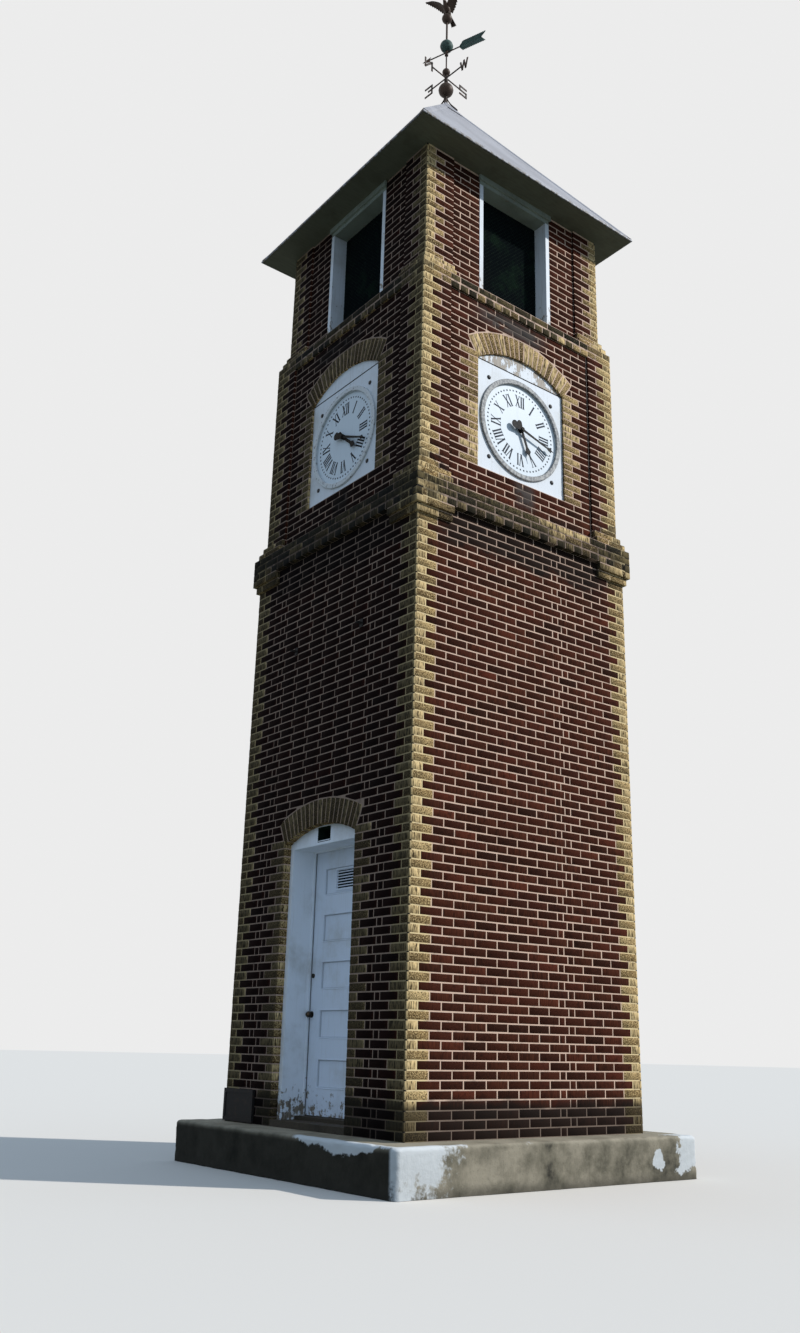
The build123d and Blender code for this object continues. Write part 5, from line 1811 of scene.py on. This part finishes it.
@dataclass
class Plinth(Part):
    """The cast plinth: a rounded square block with uneven faces and broken edges."""

    corner: float = 0.045
    edge: float = 0.028
    columns: int = 640
    bend: float = 0.08
    covered: float = 1.235

    def ring(self, half: Array, radius: Array, steps: Array) -> Array:
        """Rounded square: the square of half less radius plus a circle, each side of the path sharing the steps.

        Args:
            half: Half width of each ring, as a column.
            radius: Corner radius of each ring, as a column.
            steps: Places round the path from 0 to 4.

        Returns:
            x and y of every ring and step.
        """
        side = np.floor(steps).astype(int) % 4
        t = (steps % 1) * 2 - 1
        straight = np.clip(t / (1 - self.bend), -1, 1)
        bend = np.sign(t) * np.clip((np.abs(t) - (1 - self.bend)) / self.bend, 0, 1) * np.pi / 4
        u = straight * (half - radius) + radius * np.sin(bend)
        out = (half - radius) + radius * np.cos(bend)
        c, s = np.array([1, 0, -1, 0])[side], np.array([0, 1, 0, -1])[side]
        return np.stack([c * u + s * out, s * u - c * out], axis=-1)

    def worn(self, points: Array, inset: Array, height: Array) -> Array:
        """Wear the block: faces drawn in by noise, and chips bitten out where noise passes a limit near the top edge.

        Args:
            points: Points of the sound block.
            inset: How far each ring lies inside the block's widest outline.
            height: Height of each ring.

        Returns:
            The worn points.
        """
        rough = 0.0035 * wobble(points, 0.35, 3) + 0.0016 * wobble(points, 0.06, 4)
        near_edge = np.exp(-(((height - self.levels.foot) / 0.03) ** 2)) * np.exp(-((inset / 0.045) ** 2))
        chips = np.clip(wobble(points, 0.13, 5) - 1.15, 0, 1) * 0.016 * near_edge
        away = points * [1, 1, 0]
        away /= np.maximum(np.linalg.norm(away, axis=-1, keepdims=True), 1e-6)
        outer = np.exp(-((inset / 0.05) ** 2))
        worn = points - away * ((0.004 + rough) * outer + chips)[..., None]
        bare = np.clip((self.levels.plinth - inset - self.covered) / 0.02, 0, 1)
        sunk = (inset > 0) * (0.0018 + 0.0014 * wobble(worn, 0.2, 6)) + chips
        worn[..., 2] -= np.clip((height - 0.01) / 0.03, 0, 1) * bare * sunk
        return worn

    def build(self) -> None:
        """Shape and place the block."""
        foot, widest = self.levels.foot, self.levels.plinth
        turn = np.linspace(0, np.pi / 2, 7)[1:]
        under = np.array([widest, 1.0, 0.4])
        side = np.linspace(0, foot - self.edge, 16)
        top = np.concatenate([np.linspace(0.04, 0.34, 16), [0.6, 1.0, widest]])
        inset = np.concatenate([under, 0 * side, self.edge * (1 - np.cos(turn)), top])[:, None]
        height = np.concatenate([0 * under, side, foot - self.edge * (1 - np.sin(turn)), 0 * top + foot])[:, None]
        steps = np.linspace(0, 4, self.columns, endpoint=False)[None]
        flat = self.ring(widest - inset, np.minimum(self.corner, widest - inset), steps)
        points = np.concatenate([flat, (height + 0 * steps)[..., None]], axis=-1)
        surface = welded(grid(self.worn(points, inset, height).transpose(1, 0, 2), closed=True))
        make_piece("plinth_block", surface, self.finishes.concrete, replaces=["plinth"], smooth=50)


@dataclass
class Doorway(Part):
    """The door with its panel mouldings, and the paint of the leaf, the frame and the transom board."""

    leaf_half: float = 0.458
    leaf_face: float = 0.919
    stile: float = 0.142
    top_rail: float = 0.144
    rail: float = 0.158
    panel: float = 0.224
    overlap: float = 0.003
    count: int = 5
    rim: tuple[float, float, float, float] = (-0.109, 0.073, -0.003, 0.119)
    hole: tuple[float, float, float, float] = (-0.106, 0.070, 0.002, 0.106)
    hole_depth: float = 0.125
    gauze_half: tuple[float, float] = (0.148, 0.075)

    def liner(self) -> Shape:
        """The dark liner of the hole in the transom: a thin rim on the board, then its inner edge carried inwards."""
        low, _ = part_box("transom_board")
        edges = np.array([self.rim, self.rim, self.hole, self.hole])
        out = -low.y + np.array([-0.0005, 0.0015, 0.0015, -self.hole_depth])
        corners = rectangle(0, 1, 2, 3)
        return ringed([(edges[:, u], out, low.z + edges[:, z]) for u, z in corners]).on(Side.FRONT)

    def gauze(self) -> Shape:
        """A thin dark plate behind the slots of the door's vent."""
        low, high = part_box("door_vent")
        middle, (wide, tall) = (low.z + high.z) / 2, self.gauze_half
        near = np.array([[-wide, high.y + 0.0005, middle - tall]])
        return chamfered_boxes(near, np.array([[wide, high.y + 0.002, middle + tall]]), 0.0003)

    def moulding(self, low: float, high: float) -> Shape:
        """The moulding of one panel: a profile carried round a rectangle with mitred corners.

        Args:
            low: Lower edge of its outer rectangle.
            high: Upper edge.

        Returns:
            The moulding in (u, out, z), with painted shade lines along its profile.
        """
        inset = np.array([0.0, 0.0015, 0.008, 0.0095, 0.011, 0.013, 0.020])
        out = self.leaf_face + np.array([-0.0005, 0.0034, 0.0040, 0.001, -0.0035, -0.0118, -0.0124])
        edge = self.leaf_half - self.stile + self.overlap - inset
        shape = ringed([(u, out, z) for u, z in rectangle(-edge, edge, low + inset, high - inset)])
        # Painted shade: how dark each row of the profile is drawn, for the shadow lines round the panels.
        shape.values["grime"] = np.tile([0.25, 0.0, 0.0, 0.05, 0.2, 0.42, 0.0], 4)
        return shape

    def build(self) -> None:
        """Make the mouldings and dress the nodes."""
        finishes = self.finishes
        make_piece("transom_hole_liner", self.liner(), finishes.gauze)
        make_piece("vent_gauze", self.gauze(), finishes.gauze, "door")
        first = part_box("door_leaf")[1].z - self.top_rail
        tops = [first - row * (self.panel + self.rail) for row in range(self.count)]
        frames = joined([self.moulding(top - self.panel - self.overlap, top + self.overlap) for top in tops])
        frames = frames.on(Side.FRONT)
        make_piece("door_panel_mouldings", frames, finishes.door, "door", smooth=50)
        dress(finishes.door, "door_leaf", "door_vent")
        dress(finishes.frame, "door_jambs", "door_head", "transom_board")
        dress(finishes.knob, "door_knobs", "leaf_hinges", "door_hinges")
        dress(finishes.sill, "door_sill")
        dress(finishes.cover, "utility_cover", "wall_brackets")


NUMERALS = ("XII", "I", "II", "III", "IIII", "V", "VI", "VII", "VIII", "IX", "X", "XI")


@dataclass
class Dials(Part):
    """Numerals, minute squares and bolts on the four dials, and the finishes of boards, bezels and hands."""

    inner: float = 0.238
    outer: float = 0.352
    thick: float = 0.0158
    thin: float = 0.0082
    pitch: float = 0.027
    spread: float = 0.021
    serif: tuple[float, float] = (0.0045, 0.0022)
    minute_radius: float = 0.392
    minute_size: float = 0.0150
    face: float = 1.141
    bolt_at: tuple[float, float] = (0.385, 0.397)
    bolt_radius: float = 0.021
    bolt_depth: float = 0.010
    joint_half: float = 0.531

    def letter(self, letter: str) -> tuple[float, list[tuple[float, float, float]]]:
        """Width of one letter, and its strokes as (foot, top, thickness) across the letter.

        Args:
            letter: I, V or X.

        Returns:
            The width and the strokes.
        """
        spread = self.spread
        return {
            "I": (self.pitch, [(0.0, 0.0, self.thick)]),
            "V": (0.060, [(0.004, -spread, self.thick), (0.004, spread, self.thin)]),
            "X": (0.062, [(spread, -spread, self.thick), (-spread, spread, self.thin)]),
        }[letter]

    def wheeled(self, flat: Array, turn: Array | float) -> Array:
        """Outlines of (across, away from the middle), turned clockwise about the dial's middle by an angle."""
        a, r = flat[..., 0], flat[..., 1]
        return np.stack([r * np.sin(turn) + a * np.cos(turn), r * np.cos(turn) - a * np.sin(turn)], axis=-1)

    def numeral(self, hour: int) -> Array:
        """Outlines of one numeral: slanted strokes with level ends and a thin serif over each end.

        Args:
            hour: Hour from 0, for twelve, to 11.

        Returns:
            Outlines of four corners in (u, z) from the dial's middle.
        """
        letters = [self.letter(letter) for letter in NUMERALS[hour]]
        place = -sum(width for width, _ in letters) / 2
        long, tall = self.serif
        outlines = []
        for width, strokes in letters:
            middle = place + width / 2
            place += width
            for foot, top, thickness in strokes:
                a, b, h = middle + foot, middle + top, thickness / 2
                outlines.append([(a - h, self.inner), (a + h, self.inner), (b + h, self.outer), (b - h, self.outer)])
                for at, radius in ((a, self.inner), (b, self.outer)):
                    outlines.append(rectangle(at - h - long, at + h + long, radius - tall, radius + tall))
        return self.wheeled(np.array(outlines), np.pi / 6 * hour)

    def minutes(self) -> Array:
        """Outlines of the sixty minute squares, turned with the dial."""
        h, radius = self.minute_size / 2, self.minute_radius
        square = np.array([rectangle(-h, h, radius - h, radius + h)])
        return self.wheeled(square, np.linspace(0, 2 * np.pi, 60, endpoint=False)[:, None])

    def bolts(self) -> Shape:
        """Four round heads on the board: half an ellipse turned about its axis, which points out of the wall."""
        turn = np.linspace(0, np.pi / 2, 5)[1:]
        radius = self.bolt_radius
        dome = [(radius * np.cos(t), 0.001 + self.bolt_depth * np.sin(t)) for t in turn]
        bolt = lathe([(radius, -0.002), (radius, 0.001), *dome], 20)
        out_is_up = [[1, 0, 0], [0, 0, 1], [0, 1, 0]]
        u, z = self.bolt_at
        places = [(x * u, self.levels.board, self.levels.centre + y * z) for x, y in CORNERS]
        return joined([bolt.moved(out_is_up, place).flipped() for place in places])

    def build(self) -> None:
        """Make the marks, the bolts and the strips of painted shadow, and dress the nodes."""
        finishes, spring = self.finishes, self.levels.spring
        outlines = np.concatenate([self.numeral(hour) for hour in range(12)] + [self.minutes()])
        outlines[..., 1] += self.levels.centre
        height = 0.0007 + 0.0002 * (np.arange(len(outlines)) % 3)
        marks = raised(outlines, self.face, height, 0.0004, 0.0004)
        bolts = self.bolts()
        # Painted shadow: a dark strip along the joint between each board and the tympanum over it.
        strip = np.array([rectangle(-self.joint_half, self.joint_half, spring - 0.003, spring + 0.009)])
        strip = raised(strip, self.levels.board, 0.0007, 0.004, 0.0004)
        strips = joined([strip.on(side) for side in Side])
        make_piece("board_joint_sealant", strips, finishes.sealant)
        for side in Side:
            name = side.name.lower()
            make_piece(f"dial_marks_{name}", marks.on(side), finishes.numeral)
            make_piece(f"board_bolts_{name}", bolts.on(side), finishes.bolt, smooth=40)
            dress(finishes.hand, f"minute_hand_{name}", f"hour_hand_{name}")
        dress(finishes.dial, "clock_dials")
        dress(finishes.board, "clock_boards")
        dress(finishes.tympanum, "clock_tympana")
        dress(finishes.bezel, "clock_bezels")
        dress(finishes.hand, "hand_arbors")


@dataclass
class BelfryOpenings(Part):
    """The wooden frames of the belfry and the wire mesh behind them."""

    half: float = 0.412
    pitch: float = 0.030
    wire: float = 0.0016
    shortest: float = 0.004

    def layer(self, low: float, high: float, plane: float, sign: int) -> Shape:
        """One layer of slanting wires: each starts on the frame's edge and runs at 45 degrees to another edge.

        Args:
            low: Lower edge of the opening.
            high: Upper edge.
            plane: Distance of the mesh from the middle of the tower.
            sign: 1 for wires that rise to the right, -1 for wires that rise to the left.

        Returns:
            The wires in (u, out, z).
        """
        shift = np.arange(-self.half - (high - low), self.half, self.pitch * np.sqrt(2))
        ends = np.stack([np.maximum(0, -self.half - shift), np.minimum(high - low, self.half - shift)])
        keep = ends[1] - ends[0] > self.shortest
        shift, ends = shift[keep], ends[:, keep]
        middle = np.stack([sign * (shift + ends), plane + sign * self.wire + 0 * ends, low + ends], axis=-1)
        across = np.array([-1, 0, sign]) / np.sqrt(2) * self.wire * sign
        outward = np.array([0, 1, 0]) * self.wire
        ring = np.stack([across, outward, -across, -outward])
        points = (middle[:, :, None] + ring).transpose(1, 0, 2, 3).reshape(-1, 3)
        i = np.arange(4)
        faces = np.stack([i, (i + 1) % 4, (i + 1) % 4 + 4, i + 4], axis=1)[:, ::-sign]
        return Shape(points, (faces[None] + (np.arange(len(shift)) * 8)[:, None, None]).reshape(-1, 4))

    def build(self) -> None:
        """Make the mesh and dress the frames."""
        low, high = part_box("belfry_screens")
        plane = high.y + 2 * self.wire
        mesh = joined([self.layer(low.z, high.z, plane, sign) for sign in (1, -1)])
        sides = joined([mesh.on(side) for side in Side])
        make_piece("belfry_wire_mesh", sides, self.finishes.wire)
        dress(self.finishes.gauze, "belfry_screens")
        dress(self.finishes.belfry, "belfry_frame_posts")
        dress(self.finishes.head, "belfry_frame_rails", "belfry_cornices")
        dress(self.finishes.deck, "belfry_floor")


@dataclass
class Roof(Part):
    """Sheet roof with hip caps and a drip edge, over a boarded soffit."""

    rise: float = 1.932
    tip_start: float = 0.90
    tip_lift: float = 0.040
    cap_half: float = 0.042

    def hip_caps(self) -> Shape:
        """Folded strips over the four hips: a shallow V profile carried along each hip line."""
        half = self.levels.roof
        share = np.linspace(0.004, self.tip_start, 24)[:, None]
        across = self.cap_half * np.array([-1, -0.9, 0.0, 0.9, 1])
        lift = np.array([-0.001, 0.0045, 0.0075, 0.0045, -0.001])[None]
        back = [np.where(sign * across > 0, np.abs(across) / np.sqrt(2) * 2, 0) for sign in (1, -1)]
        x, y = [np.minimum(half * (1 - share) - drawn + lift, half + 0.004) for drawn in back]
        cap = grid(np.stack([x, -y, self.levels.eave + self.rise * share + lift * 0.8], axis=-1))
        return joined([cap.on(side) for side in Side])

    def around(self, ring: Array, height: Array) -> Shape:
        """Carry a profile of half widths and heights round the square of the eave with mitred corners."""
        return ringed([(x * ring, y * ring, height) for x, y in rectangle(-1, 1, -1, 1)])

    def hem(self) -> Shape:
        """The bent drip edge: a profile of inset and height carried round the eave with mitred corners."""
        slope = self.rise / self.levels.roof
        inset = np.array([0.004, -0.003, -0.006, -0.006, -0.003, 0.030, 0.050])
        height = np.array([-0.020, -0.020, -0.016, -0.002, 0.003, 0.007 + 0.030 * slope, 0.050 * slope])
        return self.around(self.levels.roof - inset, self.levels.eave + height)

    def tip(self) -> Shape:
        """The folded tip: the top of the four slopes in one piece, its height lifted in step with its share."""
        share = np.array([self.tip_start - 0.01, 0.999])
        ring = self.levels.roof * (1 - share) + [0.009, 0.0]
        return welded(self.around(ring, self.levels.eave + self.rise * share + [0.0, self.tip_lift]))

    def build(self) -> None:
        """Make the trims and dress the slopes and the soffit."""
        make_piece("roof_tip", self.tip(), self.finishes.roof)
        make_piece("roof_hip_caps", self.hip_caps(), self.finishes.roof, smooth=30)
        make_piece("roof_drip_edge", self.hem(), self.finishes.roof, smooth=30)
        dress(self.finishes.roof, "roof_ends", "roof_sides")
        dress(self.finishes.soffit, "soffit_ends", "soffit_sides")


LETTERS = {
    "W": (((0, 1), (0.25, -1), (0.5, 1), (0.75, -1), (1, 1)),),
    "S": (((1, 1), (0, 1), (0, 0), (1, 0), (1, -1), (0, -1)),),
    "E": (((1, 1), (0, 1), (0, -1), (1, -1)), ((0, 0), (0.5, 0))),
    "N": (((0, -1), (0, 1), (1, -1), (1, 1)),),
}


@dataclass
class Vane(Part):
    """Weather vane: turned balls, a ribbed feather and a sculpted bird of prey with raised wings.

    Levels are heights above the top of the CAD roof.
    """

    bird_turn: float = -68.0
    bird_legs: float = 0.058
    arrow_turn: float = 201.3
    arm_turn: float = 6.0
    arm_level: float = 0.408
    letter_start: float = 0.212
    letter_size: tuple[float, float] = (0.122, 0.128)
    stroke: float = 0.021
    mount_top: float = 0.146
    big_ball: tuple[float, float] = (0.236, 0.082)
    small_ball: tuple[float, float] = (0.491, 0.043)
    hub_top: float = 0.7883
    vane_radius: float = 0.072
    top_radius: float = 0.058
    top_gap: float = 0.014
    sheet: float = 0.004

    def letter(self, name: str) -> Shape:
        """One compass letter: bars along its strokes, each as long as the stroke and one bar width.

        Args:
            name: N, E, S or W.

        Returns:
            The letter, standing on the x axis beyond the arm.
        """
        wide, tall = self.letter_size
        bars = []
        for chain in LETTERS[name]:
            flat = np.array(chain) * [wide - self.stroke, (tall - self.stroke) / 2]
            flat[:, 0] += self.letter_start + self.stroke / 2
            for first, second in zip(flat, flat[1:]):
                length = float(np.hypot(*(second - first)))
                half = np.array([[(length + self.stroke) / 2, 0.004, self.stroke / 2]])
                c, s = (second - first) / length
                x, z = (first + second) / 2
                bars.append(chamfered_boxes(-half, half, 0.001).moved([[c, 0, -s], [0, 1, 0], [s, 0, c]], (x, 0.0, z)))
        return joined(bars)

    def arms(self) -> Shape:
        """The compass: a tapered hub, four round arms a quarter turn apart, and a letter at the end of each."""
        level = self.levels.roof_top + self.arm_level
        foot, top = level - 0.092, level + 0.043
        hub = lathe([(0.0, foot), (0.024, foot), (0.016, top), (0.0, top)], 20)
        reach = np.array([0.0, 0.004, self.letter_start + 0.012, self.letter_start + 0.016])
        arm = tube(np.stack([reach, 0 * reach, 0 * reach], axis=1), np.array([0.0, 0.0075, 0.0075, 0.0]), 12)
        arms = [
            joined([arm, self.letter(name)]).turned(np.radians(self.arm_turn + 90 * quarter), (0, 0, level))
            for quarter, name in enumerate(LETTERS)
        ]
        return joined([hub, *arms])

    def mount(self) -> Shape:
        """The foot of the rod: a flared stem and four flat straps that bend down over the hips."""
        top = self.levels.roof_top + self.mount_top
        tip = self.levels.eave + Roof.rise + Roof.tip_lift
        slope = Roof.rise / self.levels.roof / np.sqrt(2)
        stem = lathe([(0.0, tip - 0.06), (0.024, tip - 0.06), (0.019, tip + 0.02), (0.016, top), (0.0, top)], 20)
        runs = np.array([0.010, 0.016, 0.028, 0.060, 0.100, 0.135])
        rises = np.array([tip + 0.075, tip + 0.040, tip + 0.002, *(tip - runs[3:] * (slope + 0.15) + 0.016)])
        line = smooth_line(np.stack([runs, 0 * runs, rises], axis=1), 24)
        radii = np.tile([0.012, 0.005], (24, 1))
        radii[[0, -1]] = 0
        strap = tube(line, radii, 10)
        return joined([stem, *[strap.turned(np.pi / 4 + quarter * np.pi / 2) for quarter in range(4)]])

    def ball(self, centre: float, radius: float, seam: float = 0.0012) -> Shape:
        """A ball with a raised seam round its middle: a half circle of radius plus a narrow ridge, turned.

        Args:
            centre: Height of the middle.
            radius: Radius of the ball.
            seam: Height of the seam.

        Returns:
            The ball.
        """
        turn = np.linspace(-np.pi / 2, np.pi / 2, 37)
        size = radius + seam * np.exp(-((turn / 0.05) ** 2))
        profile = np.stack([size * np.cos(turn), centre + size * np.sin(turn)], axis=-1)
        profile[[0, -1], 0] = 0
        return lathe(profile, 48)

    def body(self) -> Shape:
        """The bird's body: an oval of changing size carried along a curve from tail to beak."""
        rows = np.array([
            (-0.098, -0.058, 0.0, 0.0), (-0.06, -0.04, 0.020, 0.017), (-0.01, -0.008, 0.036, 0.034),
            (0.032, 0.026, 0.036, 0.037), (0.052, 0.048, 0.024, 0.026), (0.066, 0.06, 0.020, 0.021),
            (0.088, 0.058, 0.009, 0.010), (0.108, 0.044, 0.0, 0.0),
        ])
        line, radii = smooth_line(rows[:, :2], 40), np.maximum(smooth_line(rows[:, 2:], 40), 0)
        radii[[0, -1]] = 0
        return tube(np.insert(line, 1, 0, axis=1), radii, 20)

    def legs(self) -> list[Shape]:
        """The bird's legs, and the short perch that its claws hold."""
        low = -self.bird_legs
        lines = [
            smooth_line([(-0.012, y * 0.016, -0.012), (-0.004, y * 0.016, -0.036), (-0.002, y * 0.010, low)], 10)
            for y in (1, -1)
        ]
        perch = np.array([(0, y, low + 0.001) for y in (-0.022, 0.0, 0.022)])
        legs = [tube(line, np.linspace(0.012, 0.006, 10), 8, up=(1, 0, 0)) for line in lines]
        return [*legs, tube(perch, np.array([0.006, 0.010, 0.006]), 8)]

    def wing(self, side: int) -> Shape:
        """One wing: a sheet over span s and chord t, arched along s, with finger feathers cut into its outer edge.

        Args:
            side: 1 for the left wing and -1 for the right.

        Returns:
            The sheet.
        """
        s = np.linspace(0, 1, 60)[:, None]
        t = np.linspace(0, 1, 16)[None]
        azimuth, rise = np.radians(62.0), np.radians(26.0)
        span = np.array([np.cos(azimuth) * np.cos(rise), side * np.sin(azimuth) * np.cos(rise), np.sin(rise)])
        chord = np.array([np.sin(azimuth), -side * np.cos(azimuth), 0.0])
        lead = np.interp(s, [0, 0.35, 0.7, 1.0], [0.026, 0.044, 0.030, 0.0])
        trail = np.interp(s, [0, 0.2, 0.38, 0.7, 1.0], [-0.074, -0.072, -0.062, -0.040, -0.004])
        fingers = 0.5 + 0.5 * np.cos(s * 2 * np.pi * 11)
        trail = trail - 0.012 * (1 - fingers) * np.clip(s * 4, 0, 1)
        place = lead + t * (trail - lead)
        arch = 0.030 * np.sin(np.pi * s)
        camber = -0.010 * (2 * t - 1) ** 2 + 0.0018 * fingers * t
        points = (0.275 * s)[..., None] * span + place[..., None] * chord
        points[..., 2] += arch + camber
        return grid(points) if side < 0 else grid(points).flipped()

    def tail(self) -> Shape:
        """The tail: a fan over length s and width t that droops, with ribs between its feathers."""
        s = np.linspace(0, 1, 24)[:, None]
        t = np.linspace(-1, 1, 29)[None]
        droop, ribs = np.radians(27.0), np.cos(t * np.pi * 7)
        length = 0.075 + s * (0.125 - 0.010 * np.abs(t)) - 0.006 * s * (0.5 + 0.5 * ribs)
        z = -length * np.sin(droop) + 0.010 + 0.002 * ribs - 0.010 * t**2
        return grid(np.stack([-length * np.cos(droop), (0.016 + s * 0.014) * t, z], axis=-1)).flipped()

    def feather(self) -> Shape:
        """The arrow's tail feather: a sheet over length s and height t with slanting ribs from its spine."""
        low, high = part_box("vane_feather")
        s = np.linspace(0, 1, 70)[:, None]
        t = np.linspace(-1, 1, 33)[None]
        half, start, end = 0.066, 0.160, 0.490 - 0.052 * (1 - np.abs(t))
        reach = start + s * (end - start)
        rib = 0.0032 * np.sin((reach - 0.6 * np.abs(t) * half) * 2 * np.pi / 0.021)
        bulge = 0.004 * np.exp(-((t / 0.10) ** 2))
        turn = np.radians(self.arrow_turn)
        axis = -np.array([np.cos(turn), np.sin(turn), 0])
        normal = np.array([np.sin(turn), -np.cos(turn), 0])
        points = reach[..., None] * axis + (rib + bulge)[..., None] * normal
        points[..., 2] += (low.z + high.z) / 2 + half * np.clip(s / 0.14, 0.10, 1) * t
        return grid(points)

    def build(self) -> None:
        """Make the balls, the feather and the bird, and dress the rest."""
        iron, copper, green = self.finishes.iron, self.finishes.dark_copper, self.finishes.verdigris
        base, perch = self.levels.roof_top, self.levels.perch
        fixed = joined([self.ball(base + level, radius) for level, radius in (self.big_ball, self.small_ball)])
        make_piece("compass_arms_cast", self.arms(), iron, replaces=["compass_arms"])
        make_piece("rod_foot", self.mount(), iron, replaces=["vane_mount"], smooth=40)
        make_piece("mast_ball_pair", fixed, copper, replaces=["mast_balls"], smooth=60)
        top = perch - self.top_gap - self.top_radius
        centre = base + self.hub_top + np.sqrt(self.vane_radius**2 - 0.016**2)
        rod = lathe([(0.0115, centre), (0.0115, top)], 20)
        cap = lathe([(0.015, top + self.top_radius * 0.95), (0.015, perch), (0.0, perch)], 20)
        above = joined([self.ball(top, self.top_radius), cap, rod])
        place = (0, 0, perch + self.bird_legs)
        body, wings, tail = [
            joined(shapes).turned(np.radians(self.bird_turn), place)
            for shapes in ([self.body(), *self.legs()], [self.wing(side) for side in (1, -1)], [self.tail()])
        ]
        turning = self.ball(centre, self.vane_radius, 0.002)
        make_piece("vane_ball", turning, green, "vane", ["vane_balls"], 60)
        make_piece("top_ball", above, copper, "vane", smooth=60)
        make_piece("ribbed_feather", self.feather(), green, "vane", ["vane_feather"], 60, self.sheet)
        make_piece("eagle_body", body, copper, "vane", ["vane_bird"], 60)
        make_piece("eagle_wings", wings, copper, "vane", smooth=60, thickness=self.sheet)
        make_piece("eagle_tail", tail, copper, "vane", smooth=60, thickness=self.sheet)
        dress(iron, "vane_rod", "vane_arrow")


@dataclass
class Studio:
    """Camera at the photograph's place, a soft key light, fill from the world, and a pale floor."""

    finishes: Finishes
    camera_place: tuple[float, float, float] = (7.8968, -6.4392, 0.9451)
    yaw: float = 52.05
    pitch: float = 18.176
    roll: float = -1.304
    focal: float = 1156.43
    principal: float = 412.85
    width: float = 800.0
    height: float = 1333.0
    sun: tuple[float, float, float] = (1.0, 1.0, 0.95)
    sun_power: float = 3.2
    sun_size: float = 1.2
    fill: float = 0.64
    sky: tuple[float, float, float] = (0.56, 0.74, 1.0)
    background: float = 0.84
    floor_radius: float = 90.0
    floor_level: float = -0.002

    def build(self) -> None:
        """Make the camera, the lights, the world and the floor."""
        self.camera()
        self.lights()
        self.world()
        self.floor()

    def camera(self) -> None:
        """Place the camera: rows right, down and forward from yaw, pitch and roll become Blender's columns."""
        yaw, pitch, roll = np.radians([self.yaw, self.pitch, self.roll])
        forward = np.array([-np.sin(yaw) * np.cos(pitch), np.cos(yaw) * np.cos(pitch), np.sin(pitch)])
        level = np.array([np.cos(yaw), np.sin(yaw), 0.0])
        down = np.cross(forward, level)
        right = np.cos(roll) * level + np.sin(roll) * down
        below = -np.sin(roll) * level + np.cos(roll) * down
        data = bpy.data.cameras.new("photo_camera")
        data.sensor_fit = "AUTO"
        data.sensor_width = 36.0
        data.lens = self.focal / self.height * data.sensor_width
        data.shift_x = (self.width / 2 - self.principal) / self.height
        data.clip_end = 500.0
        camera = placed("photo_camera", data)
        matrix = np.eye(4)
        matrix[:3] = np.stack([right, -below, -forward, self.camera_place], axis=1)
        camera.matrix_world = Matrix(matrix.tolist())
        bpy.context.scene.camera = camera

    def lights(self) -> None:
        """A large far key light where the sun stood."""
        data = bpy.data.lights.new("key_light", "SUN")
        data.energy = self.sun_power
        data.angle = np.radians(self.sun_size)
        light = placed("key_light", data)
        light.rotation_euler = Vector(self.sun).to_track_quat("Z", "Y").to_euler()

    def world(self) -> None:
        """Even fill light, and a pale background for the camera, gloss and glass."""
        world = bpy.data.worlds.new("studio_world")
        world.use_nodes = True
        nodes, link = world.node_tree.nodes, world.node_tree.links.new
        nodes.clear()
        mix = nodes.new("ShaderNodeMixShader")
        for slot, colour, strength in ((1, self.sky, self.fill), (2, (1.0, 1.0, 1.0), self.background)):
            light = nodes.new("ShaderNodeBackground")
            light.inputs["Color"].default_value = (*colour, 1.0)
            light.inputs["Strength"].default_value = strength
            link(light.outputs[0], mix.inputs[slot])
        path = nodes.new("ShaderNodeLightPath")
        seen = path.outputs["Is Camera Ray"]
        for ray in ("Glossy", "Transmission"):
            either = nodes.new("ShaderNodeMath")
            either.operation = "MAXIMUM"
            link(seen, either.inputs[0])
            link(path.outputs[f"Is {ray} Ray"], either.inputs[1])
            seen = either.outputs[0]
        link(seen, mix.inputs[0])
        link(mix.outputs[0], nodes.new("ShaderNodeOutputWorld").inputs[0])
        bpy.context.scene.world = world

    def floor(self) -> None:
        """A wide disc on the ground."""
        shape = lathe([(self.floor_radius, self.floor_level), (0.0, self.floor_level)], 96)
        mesh = bpy.data.meshes.new("studio_floor")
        mesh.from_pydata(shape.points.tolist(), [], shape.quads.tolist() + shape.triangles.tolist())
        mesh.materials.append(self.finishes.floor)
        placed("studio_floor", mesh)


def main() -> None:
    """Build every sub-assembly in order."""
    logging.basicConfig(level=logging.INFO, format="%(message)s")
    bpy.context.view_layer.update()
    bpy.context.scene.view_settings.view_transform = "Standard"
    levels = Levels()
    finishes = Finishes(levels)
    Studio(finishes).build()
    for part in (Plinth, Shaft, Band, ClockStage, BelfryWalls, Doorway, Dials, BelfryOpenings, Roof, Vane):
        part(levels, finishes).build()
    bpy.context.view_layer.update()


if __name__ == "__main__":
    main()
